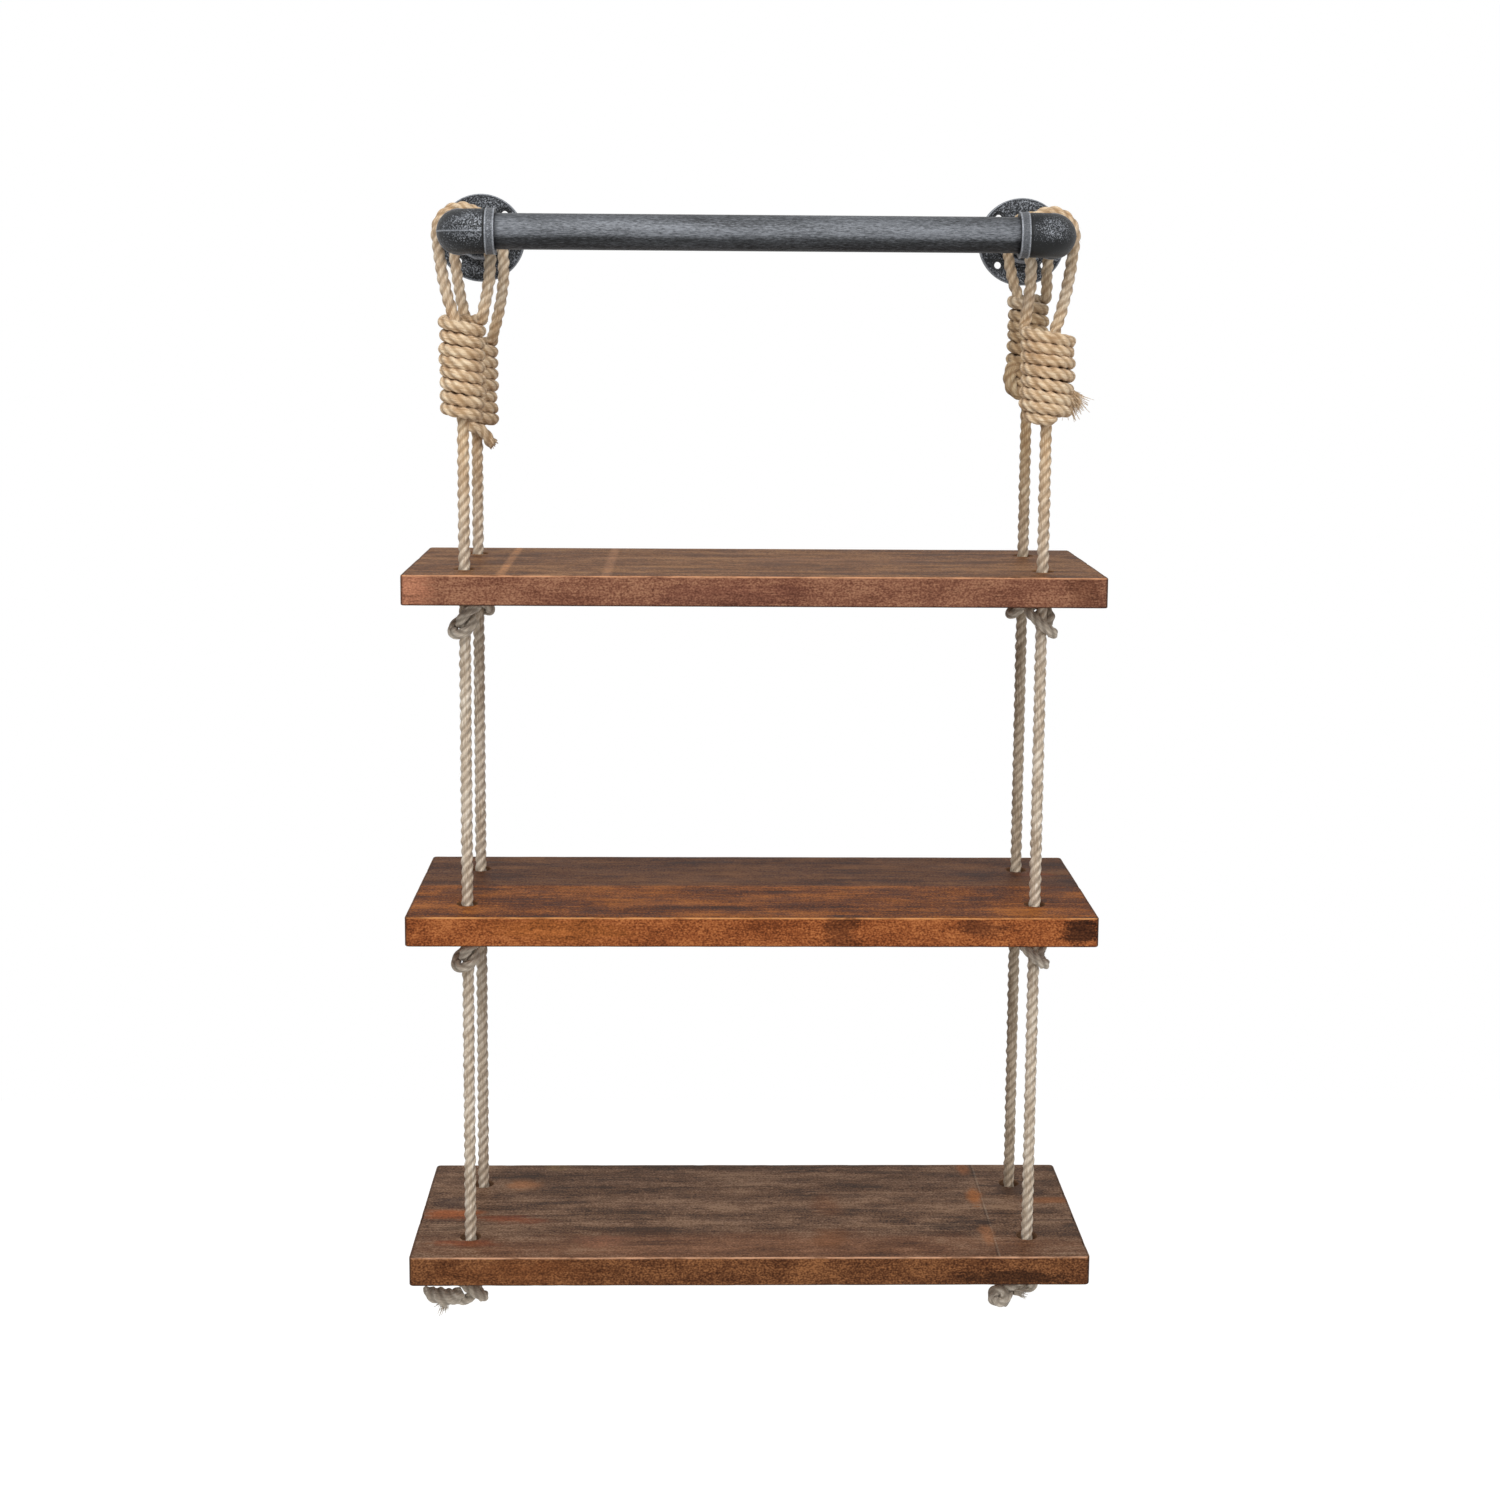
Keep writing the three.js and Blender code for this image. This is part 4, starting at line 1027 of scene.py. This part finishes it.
def make_boards():
    """The three planks, each stained and marked as the photograph shows it."""
    looks = {
        "upper": dict(
            face=("#442A17", "#6E4629", "#99704A"),
            wall=("#653E2F", "#815541", "#9F7358"), worn_line="#D69C74",
            face_marks=[
                (-183, 0, 4.0, 0, "#AC7A52", 0.75, 0.15),
                (-107, 0, 4.5, 0, "#9C7050", 0.6, 0.2),
                (60, -95, 90, 30, "#7E583F", 0.4, 0.5),
            ],
            side_marks=[
                (-250, -254, 24, 30, "#B0765A", 0.55, 0.4),
                (-30, -256, 60, 14, "#6A4034", 0.45, 0.5),
                (236, -256, 16, 30, "#5A3524", 0.5, 0.4),
            ]),
        "middle": dict(
            face=("#382016", "#5C3924", "#7E5638"), planks=("#3A1C0C", "#753F1A", "#AE6A30"),
            wall=("#63331A", "#8F4F2A", "#B57040"), worn_line="#D9995F",
            face_marks=[
                (-215, -120, 26, 16, "#4A2A1C", 0.6, 0.4),
                (232, -120, 18, 30, "#5C3622", 0.55, 0.4),
                (228, -66, 16, 8, "#8A4A2A", 0.5, 0.4),
            ],
            side_marks=[
                (64, -505, 14, 20, "#57301C", 0.6, 0.5),
                (170, -502, 22, 9, "#5A321E", 0.65, 0.5),
                (240, -506, 16, 12, "#3C2216", 0.85, 0.5),
                (-140, -504, 60, 10, "#A2602F", 0.5, 0.5),
            ]),
        "lower": dict(
            face=("#3C2B20", "#6C4F3C", "#967860"),
            wall=("#452615", "#6A4228", "#96643E"), worn_line="#D8A684",
            face_marks=[
                (0, -176, 330, 34, "#835539", 0.5, 0.35),
                (-232, -112, 24, 12, "#A05A32", 0.85, 0.5),
                (-190, -122, 36, 9, "#8E4F33", 0.8, 0.5),
                (-222, -167, 34, 7, "#85492C", 0.85, 0.5),
                (-222, -138, 20, 7, "#3A2A20", 0.55, 0.5),
                (-232, -90, 16, 14, "#40302A", 0.55, 0.5),
                (-181, -54, 15, 13, "#9A6A48", 0.85, 0.45),
                (-154, -15, 10, 9, "#84694A", 0.75, 0.4),
                (-112, -165, 24, 16, "#94644A", 0.7, 0.5),
                (185.2, 0, 0.7, 0, "#33241C", 0.5, 0.35),
                (186.6, 0, 0.8, 0, "#A0907E", 0.3, 0.45),
                (178, -20, 6, 14, "#94603E", 0.75, 0.4),
                (181, -76, 8, 24, "#A4683C", 0.9, 0.4),
                (182, -152, 7, 26, "#9C6A48", 0.8, 0.4),
                (150, -135, 30, 10, "#33241C", 0.65, 0.5),
                (183, -130, 9, 8, "#2A1C16", 0.8, 0.4),
                (60, -160, 16, 20, "#7E5030", 0.5, 0.5),
                (62, -96, 13, 24, "#744A30", 0.5, 0.5),
                (240, -86, 26, 8, "#8E5A36", 0.7, 0.45),
                (212, -60, 24, 22, "#4A372C", 0.6, 0.4),
            ],
            side_marks=[
                (200, -770, 40, 7, "#3C2416", 0.7, 0.5),
                (-180, -766, 70, 12, "#7C4A2A", 0.5, 0.5),
            ]),
    }
    for n, (level, look) in enumerate(looks.items()):
        finish = stained_wood(f"stained_pine_{level}", n + 1, **look)
        made = piece(f"plank_{level}", finish, *board_surface(level, 40 + 7 * n))
        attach(made, f"shelf_{level}")
        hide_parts(f"board_{level}")


make_boards()


# Rack

metal_sides = 96
pipe_softness = 0.5
elbow_softness = 0.8
band_dip = 0.25  # how far a band's middle lies below its lips
band_shadow = 0.3  # how deep the line is that sets a band off from the elbow's body
band_shadow_width = 1.6
lip_width = 1.2
ridge_height, ridge_width = 0.35, 0.55
ridge_crowding = 0.38  # how much closer the points round an elbow stand at its ridge
socket_gap = 0.3
# The cell of a flange's grid round a screw hole: its half width in angle, and its reach inwards and outwards
hole_span = math.radians(16)
screw_cell_in, screw_cell_out, screw_cell_step = 5.8, 6.2, 2.4
flange_step = math.radians(4)
rim_wear, lip_wear = 1.1, 1.6


def turned_profile(profile, centre, axis):
    """Rings of points round an axis, one for each (radius, distance along it) of a profile."""
    around = np.arange(metal_sides) * full_turn / metal_sides
    radius, height = np.asarray(profile, float).T
    circle = np.stack([np.cos(around), np.sin(around)], axis=-1) * radius[:, None, None]
    along = np.broadcast_to(height[:, None, None], circle.shape[:2] + (1,))
    across, up = circle[..., 0:1], circle[..., 1:2]
    order = {"Y": (across, along, up), "X": (along, up, across)}
    return np.concatenate(order[axis], axis=-1) + centre


def arc_corner(centre_radius, centre_height, size, start, end, steps=5):
    """Profile points of a rounding: a part of a circle from one angle to another, in degrees."""
    angle = np.radians(np.linspace(start, end, steps))
    return [(centre_radius + size * math.cos(a), centre_height + size * math.sin(a)) for a in angle]


def pipe_surface(start, end, axis, centre):
    """A length of pipe: out over the outer wall, softened at both ends, and back through the bore."""
    soft = pipe_softness
    profile = [(pipe_bore, start), (pipe_radius - soft, start), (pipe_radius, start + soft)]
    profile += [(pipe_radius, z) for z in np.linspace(start + soft, end - soft, 12)[1:]]
    profile += [(pipe_radius - soft, end), (pipe_bore, end), (pipe_bore, start)]
    return welded([strip(turned_profile(profile, centre, axis))])


def elbow_surface(sign, seam_strength):
    """A cast elbow: a circle carried along one leg, round the bend and along the other, swelling to a band at
    each open end, with a low parting ridge where its mould halves met, and then back through the sockets."""
    bend = np.linspace(math.pi, 1.5 * math.pi, 25)
    even = np.arange(metal_sides) * full_turn / metal_sides
    around = even - ridge_crowding * np.sin(2 * even)
    inner = elbow_leg - band_width
    soft = elbow_softness
    low_band = band_radius - band_dip
    leg = [(elbow_leg, band_radius - soft), (elbow_leg - band_dip, low_band), (elbow_leg - soft, band_radius)]
    leg += [(d, low_band) for d in np.linspace(elbow_leg - 2 * soft, inner + 2 * soft, 4)]
    leg += [(inner + soft, band_radius), (inner + band_dip, low_band), (inner, elbow_radius)]
    shadow = elbow_radius - band_shadow
    leg += [(inner - 0.35, shadow), (inner - 0.9, shadow), (inner - band_shadow_width, elbow_radius)]
    socket = pipe_radius + socket_gap
    mouth = [(elbow_leg - socket_depth, pipe_bore), (elbow_leg - socket_depth, socket), (elbow_leg, socket)]
    stations = [((0, d), (0, -1), r) for d, r in mouth + leg]
    for angle in bend:
        centre = (elbow_bend_radius * (1 + math.cos(angle)), elbow_bend_radius * (1 + math.sin(angle)))
        stations.append((centre, (-math.sin(angle), math.cos(angle)), elbow_radius))
    stations += [((d, 0), (1, 0), r) for d, r in (mouth + leg)[::-1]]
    centre, way, radius = (np.array(part, float) for part in zip(*stations))
    level = np.sin(around)
    ridge = ridge_height * np.exp(-(level * elbow_radius / ridge_width) ** 2)
    on_body = (np.abs(radius - elbow_radius) < 0.01)[:, None]
    reach = radius[:, None] + ridge * on_body
    outward = np.column_stack([way[:, 1], -way[:, 0]])
    rows = np.concatenate([
        centre[:, None] + reach[..., None] * np.cos(around)[None, :, None] * outward[:, None],
        (reach * level)[..., None],
    ], axis=-1)
    rows = np.concatenate([rows, rows[:1]])
    rows = rows * [-sign, 1, 1]
    quads = strip(rows)
    if sign > 0:
        quads = quads[:, ::-1]
    points, faces = welded([quads])
    along_bar, to_wall, up = (points * [-sign, 1, 1]).T
    worn, shaded_unbrushed_crease = np.zeros(len(points)), np.zeros(len(points))
    for d, off in ((along_bar, to_wall), (to_wall, along_bar)):
        out = np.hypot(off, up)
        on_leg = (d > 0.5) & (out > elbow_radius - 0.5) & (np.abs(off) < band_radius + 1)
        band = on_leg & (d > inner + 0.1) & (out > elbow_radius + 0.1)
        lip = band & (np.minimum(elbow_leg - d, d - inner) < lip_width)
        worn = np.maximum(worn, np.where(lip, 0.9, np.where(band, 0.3, 0.0)))
        # The body's crease just inside each band: the brush misses it, and the material paints it as shade
        shaded_unbrushed_crease = np.maximum(shaded_unbrushed_crease, on_leg & (d < inner + 0.1) & (d > inner - lip_width))
    in_socket = np.zeros(len(points), bool)
    for d, off in ((along_bar, to_wall), (to_wall, along_bar)):
        in_socket |= (d > elbow_leg - socket_depth - 0.1) & (np.hypot(off, up) < socket + 0.5)
    seam = np.exp(-(up / 0.5) ** 2) * ~in_socket * (worn == 0) * seam_strength
    attributes = {"worn": np.maximum(worn, seam), "shaded_unbrushed_crease": shaded_unbrushed_crease}
    return points + [sign * rope_x, -rack_reach, 0], faces, attributes


def flange_surface(place):
    """A cast flange: flat sheets behind and in front, gridded round the circle with a patch at each screw
    hole, and rings for the rim, the countersinks, the hub and its socket. Its rim and the hub's lip are
    worn."""
    hub_foot = hub_radius + flange_hub_fillet
    rim = flange_radius - flange_rim_chamfer
    quarter = [math.radians(45 + 90 * k) for k in range(4)]
    stops = sorted([q + d for q in quarter for d in (-hole_span, hole_span)])
    angles = interval_lines([stops[-1] - full_turn, *stops], flange_step)
    screw_cell = [screw_circle_radius - screw_cell_in, screw_circle_radius + screw_cell_out]
    parts = []

    def polar(a, r):
        """The point at an angle and a distance from the middle."""
        return np.stack([r * np.cos(a), r * np.sin(a)], axis=-1)

    def sheet(inner, outer, hole, depth, faces_room):
        """Adds a flat ring with its four screw holes, and returns the holes' outlines."""
        radii = np.r_[inner, interval_lines(screw_cell, screw_cell_step), outer]
        holes = []
        for q in quarter:
            ends = [int(np.argmin(np.abs(angles - (q + span)))) for span in (-hole_span, hole_span)]
            box = (*ends, 1, len(radii) - 2)
            holes.append((screw_circle_radius * np.array([math.cos(q), math.sin(q)]), hole, box))
        flat, loops = holed_plate(angles, radii, polar, holes)
        parts.append(lifted(flat, depth, not faces_room))
        return loops

    front = sheet(hub_foot, rim, screw_head_radius, flange_thickness, True)
    back = sheet(pipe_bore, flange_radius, screw_hole_radius, 0.0, False)
    circle = np.column_stack([np.cos(angles[:-1]), np.sin(angles[:-1])])

    def rings(profile):
        """Circles round the flange's axis, one for each (radius, depth) of a profile."""
        return np.array([np.column_stack([r * circle, np.full(len(circle), d)]) for r, d in profile])

    bulge = arc_corner(rim, flange_thickness - flange_rim_chamfer, flange_rim_chamfer, 0, 90)
    parts.append(strip(rings([(flange_radius, 0.0), *bulge])))
    fillet = arc_corner(hub_foot, flange_thickness + flange_hub_fillet, flange_hub_fillet, 270, 180)
    lip_middle = (hub_radius - flange_hub_chamfer, hub_length - flange_hub_chamfer)
    lip = arc_corner(*lip_middle, flange_hub_chamfer, 0, 90)
    socket = pipe_radius + socket_gap
    shoulder = hub_length - socket_depth
    parts.append(strip(rings([*fillet, *lip, (socket, hub_length), (socket, shoulder), (pipe_bore, shoulder),
                              (pipe_bore, 0.0)])))
    for fore, rear in zip(front, back):
        centre = fore.mean(0)
        spoke = (fore - centre) / screw_head_radius
        sunk = flange_thickness - screw_head_lip
        steps = [(screw_head_radius, flange_thickness), (screw_head_radius, sunk),
                 (screw_hole_radius, sunk - screw_head_depth)]
        cone = [np.column_stack([centre + spoke * r, np.full(len(fore), d)]) for r, d in steps]
        hole = np.column_stack([rear, np.zeros(len(rear))])
        parts.append(strip(np.array(cone + [hole]))[:, ::-1])
    points, faces = welded([np.stack([q[..., 0], -q[..., 2], q[..., 1]], axis=-1) + place for q in parts])
    x, y, z = (points - place).T
    out = np.hypot(x, z)
    on_rim = (out > flange_radius - rim_wear) & (y < -rim_wear)
    on_lip = (y < lip_wear - hub_length) & (out > pipe_radius + 1)
    return points, faces, {"worn": np.where(on_rim, 0.75, np.where(on_lip, 0.9, 0.0))}


def brushed_iron(name, streak, fine, cover, seed, upper=0.0, painted_highlight_spot=None, soft=1.0, coat_share=1.0):
    """Malleable iron painted near black, its high spots dry-brushed with silver: a matt dark coat broken by
    fine bright flecks, denser in patches, and bright worn lines wherever an edge stands proud. streak is how
    many flecks there are in a millimetre along X, fine how many across, and cover how much silver there is.
    upper is how much more silver is put on as a painted highlight, in a band along the middle of the height
    that fades towards the top and is gone low down, a spot given as (centre, half size) gets more silver as a
    painted highlight, soft is how gently the flecks fade, and coat_share how light the coat is. As painted
    shade, the coat darkens towards black away from that band, most on the lower side, and in the crease
    beside each elbow band."""
    finish, node, place = new_material(name)
    shift = (seed * 53.0, seed * 29.0, seed * 17.0)
    # Patches of the brush are 12 mm across, and the sand-cast skin's grains 1.3 mm. Flecks of a tenth of a
    # millimetre are too fine to show, so they are drawn about a millimetre across
    flecks, patches, cast = (
        node("TexNoise", {"Vector": node("Mapping", {"Vector": place, "Location": shift, "Scale": bumps}),
                          "Scale": 1.0, "Detail": 3.0, "Roughness": rough})
        for bumps, rough in (
            ((streak, fine, fine), 0.75),
            ((0.012, 0.08, 0.08), 0.6),
            ((0.8, 0.8, 0.8), 0.65),
        ))
    worn, shaded_unbrushed_crease = (node("Attribute", output="Fac", attribute_name=kept) for kept in ("worn", "shaded_unbrushed_crease"))
    uneven = node("Math", (node("Math", (patches, 0.5), operation="SUBTRACT"), 0.35), operation="MULTIPLY")
    dry = node("Math", (flecks, uneven), operation="ADD")
    # Painted highlight: silver is added in a band along the middle of the height, less at the top and none
    # low down
    height = node("Math", (node("SeparateXYZ", (place,), 2), 2 * pipe_radius), operation="DIVIDE")
    side_up = node("Math", (height, 0.5), operation="ADD", use_clamp=True)
    above = node("ValToRGB", (side_up,), stops=[
        (0.28, grey(0.0)), (0.42, grey(0.95)), (0.6, grey(1.0)), (0.86, grey(0.75)), (1.0, grey(0.45))])
    more = [(above, upper)]
    # Painted highlight: more silver in the given spot
    if painted_highlight_spot:
        more.append((spot(node, place, *painted_highlight_spot, patches), 0.12))
    for mask, strength in more:
        dry = node("Math", (dry, node("Math", (mask, strength), operation="MULTIPLY")), operation="ADD")
    middle = 0.60 - cover
    silver = node("ValToRGB", (dry,), stops=[
        (middle - 0.08 * soft, grey(0.0)),
        (middle, grey(0.4 / soft)),
        (middle + 0.10 * soft, grey(0.95 / math.sqrt(soft))),
    ])
    caught = node("ValToRGB", (flecks,), stops=[(0.38, grey(0.45)), (0.55, grey(1.0))])
    rubbed = node("Math", (worn, caught), operation="MULTIPLY")
    open_to_brush = node("Math", (1.0, shaded_unbrushed_crease), operation="SUBTRACT")
    bright = node("Math", (silver, rubbed), operation="MAXIMUM")
    bright = node("Math", (bright, open_to_brush), operation="MULTIPLY")
    # Painted shade: black over the coat away from the highlight band, most on the lower side, and in the
    # crease beside each elbow band
    below = node("Math", (node("Math", (1.0, above), operation="SUBTRACT"), 0.7), operation="MULTIPLY")
    in_socket = node("Math", (shaded_unbrushed_crease, 0.8), operation="MULTIPLY")
    colour = node("ValToRGB", (patches,), stops=[
        (0.3, linear("#17191C")), (0.55, linear("#25282C")), (0.75, linear("#34373C"))])
    black, silver_paint = linear("#08090A"), linear("#A4A8AF")
    layers = [(1.0 - coat_share, black), (below, black), (in_socket, black), (bright, silver_paint)]
    for amount, tint in layers:
        colour = node("Mix", {0: amount, 6: colour, 7: tint}, 2, data_type="RGBA")
    pitted = node("Math", (cast, 0.7), operation="MULTIPLY")
    relief = node("Math", (pitted, node("Math", (flecks, 0.3), operation="MULTIPLY")), operation="ADD")
    shader = node("BsdfPrincipled", {
        "Base Color": colour,
        "Metallic": node("Math", (bright, 0.35), operation="MULTIPLY"),
        "Roughness": node("ValToRGB", (bright,), stops=[(0.0, grey(0.55)), (1.0, grey(0.42))]),
        "Specular IOR Level": 0.25,
        "Normal": node("Bump", {"Strength": 0.45, "Distance": 0.0004, "Height": relief}),
    })
    node("OutputMaterial", (shader,), None)
    return finish


def make_rack():
    """The pipes, elbows and flanges, which are all brushed by hand and so differ a little. Each elbow also
    has a spot of painted highlight, and the right elbow's coat is darker.
    """
    # The pipes take the strongest painted highlight band
    tube = brushed_iron("dry_brushed_pipe", 0.26, 1.5, -0.03, 2, 0.27, soft=2.7, coat_share=0.5)
    plate = brushed_iron("dry_brushed_flange_iron", 0.75, 0.75, 0.02, 3, coat_share=0.9)
    # Each elbow's spot (centre, half size) is a painted highlight
    cast = {
        "left": brushed_iron("dry_brushed_elbow_iron", 0.85, 0.85, -0.075, 1, 0.03,
                             ((-203, -200, 3), (22, 26, 15)), coat_share=0.7),
        "right": brushed_iron("dry_brushed_darker_elbow_iron", 0.95, 0.95, -0.10, 4, 0.03,
                              ((210, -201, 5), (18, 26, 12)), coat_share=0.5),
    }
    # The parting ridge shows rubbed bright on the left elbow alone
    seam_strength = {"left": 0.9, "right": 0.0}
    standoff = (-(rack_reach - elbow_leg + socket_depth) + seat_gap, -(hub_length - socket_depth) - seat_gap)
    half = rope_x - elbow_leg + socket_depth - seat_gap
    made = []
    for side, sign in side_sign.items():
        place = np.array([sign * rope_x, 0, 0])
        made.append((f"flange_{side}", f"wall_flange_{side}", plate, flange_surface(place)))
        shell = elbow_surface(sign, seam_strength[side])
        made.append((f"elbow_shell_{side}", f"elbow_{side}", cast[side], shell))
        made.append((f"standoff_{side}", f"standoff_pipe_{side}", tube, pipe_surface(*standoff, "Y", place)))
    bar_place = np.array([0, -rack_reach, 0])
    made.append(("crossbar", "crossbar_pipe", tube, pipe_surface(-half, half, "X", bar_place)))
    for name, node, finish, surface in made:
        body = piece(name, finish, *surface)
        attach(body, "rack")
        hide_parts(node)


make_rack()


# Light and surroundings

lamps = [
    ("key", (-0.7, -1.9, 1.5), 2.0, 46),
    ("fill", (1.2, -2.1, 0.4), 1.6, 16),
]
lamps_aim = np.array([0, -0.1, -0.4])
floor_half, floor_level = 2200.0, -1500.0


def seen_directly(node):
    """1 for the rays that show the surroundings themselves: straight, in a reflection or through glass."""
    rays = node("LightPath", output=None).outputs
    bounced = node("Math", (rays["Is Glossy Ray"], rays["Is Transmission Ray"]), operation="MAXIMUM")
    return node("Math", (rays["Is Camera Ray"], bounced), operation="MAXIMUM")


def make_world():
    """White where it is seen directly, and a softer light on the shelf."""
    world = bpy.data.worlds.new("studio")
    bpy.context.scene.world = world
    world.use_nodes = True
    world.node_tree.nodes.clear()
    node = partial(add_node, world.node_tree)
    soft = node("Background", {"Color": linear("#F7F7F7"), "Strength": 0.42})
    white = node("Background", {"Color": grey(1), "Strength": 1.0})
    node("OutputWorld", (node("MixShader", (seen_directly(node), soft, white)),), None)


def make_lamps():
    """Round soft lamps that face the shelf. Places and sizes are in metres, power in watts."""
    for name, place, size, power in lamps:
        lamp = bpy.data.lights.new(name, "AREA")
        lamp.shape = "DISK"
        lamp.size = size
        lamp.energy = power
        body = bpy.data.objects.new(name, lamp)
        aim = lamps_aim - place
        aim = aim / np.linalg.norm(aim)
        side = np.cross(aim, [0, 0, 1])
        side /= np.linalg.norm(side)
        turn = Matrix(np.column_stack([side, np.cross(side, aim), -aim]).tolist()).to_4x4()
        body.matrix_world = Matrix.Translation(place) @ turn
        bpy.context.scene.collection.objects.link(body)


def make_floor():
    """White painted boards far below, which light themselves a little where they are seen directly."""
    paint, node, place = new_material("white_painted_floor")
    spread = node("Mapping", {"Vector": place, "Scale": (0.01, 0.01, 0.01)})
    mottle = node("TexNoise", {"Vector": spread, "Scale": 1.0, "Detail": 2.0, "Roughness": 0.55})
    shader = node("BsdfPrincipled", {
        "Base Color": node("ValToRGB", (mottle,), stops=[(0.3, linear("#F1F1F0")), (0.7, linear("#F6F6F5"))]),
        "Roughness": 0.9,
        "Specular IOR Level": 0.0,
        "Emission Color": grey(1),
        "Emission Strength": node("Math", (seen_directly(node), 0.6), operation="MULTIPLY"),
    })
    node("OutputMaterial", (shader,), None)
    corners = [(x * floor_half, y * floor_half, floor_level) for x, y in ((-1, -1), (1, -1), (1, 1), (-1, 1))]
    floor = piece("floor", paint, corners, [(0, 1, 2, 3)], smooth=False)


make_world()
make_lamps()
make_floor()
bpy.context.scene.view_settings.view_transform = "Standard"
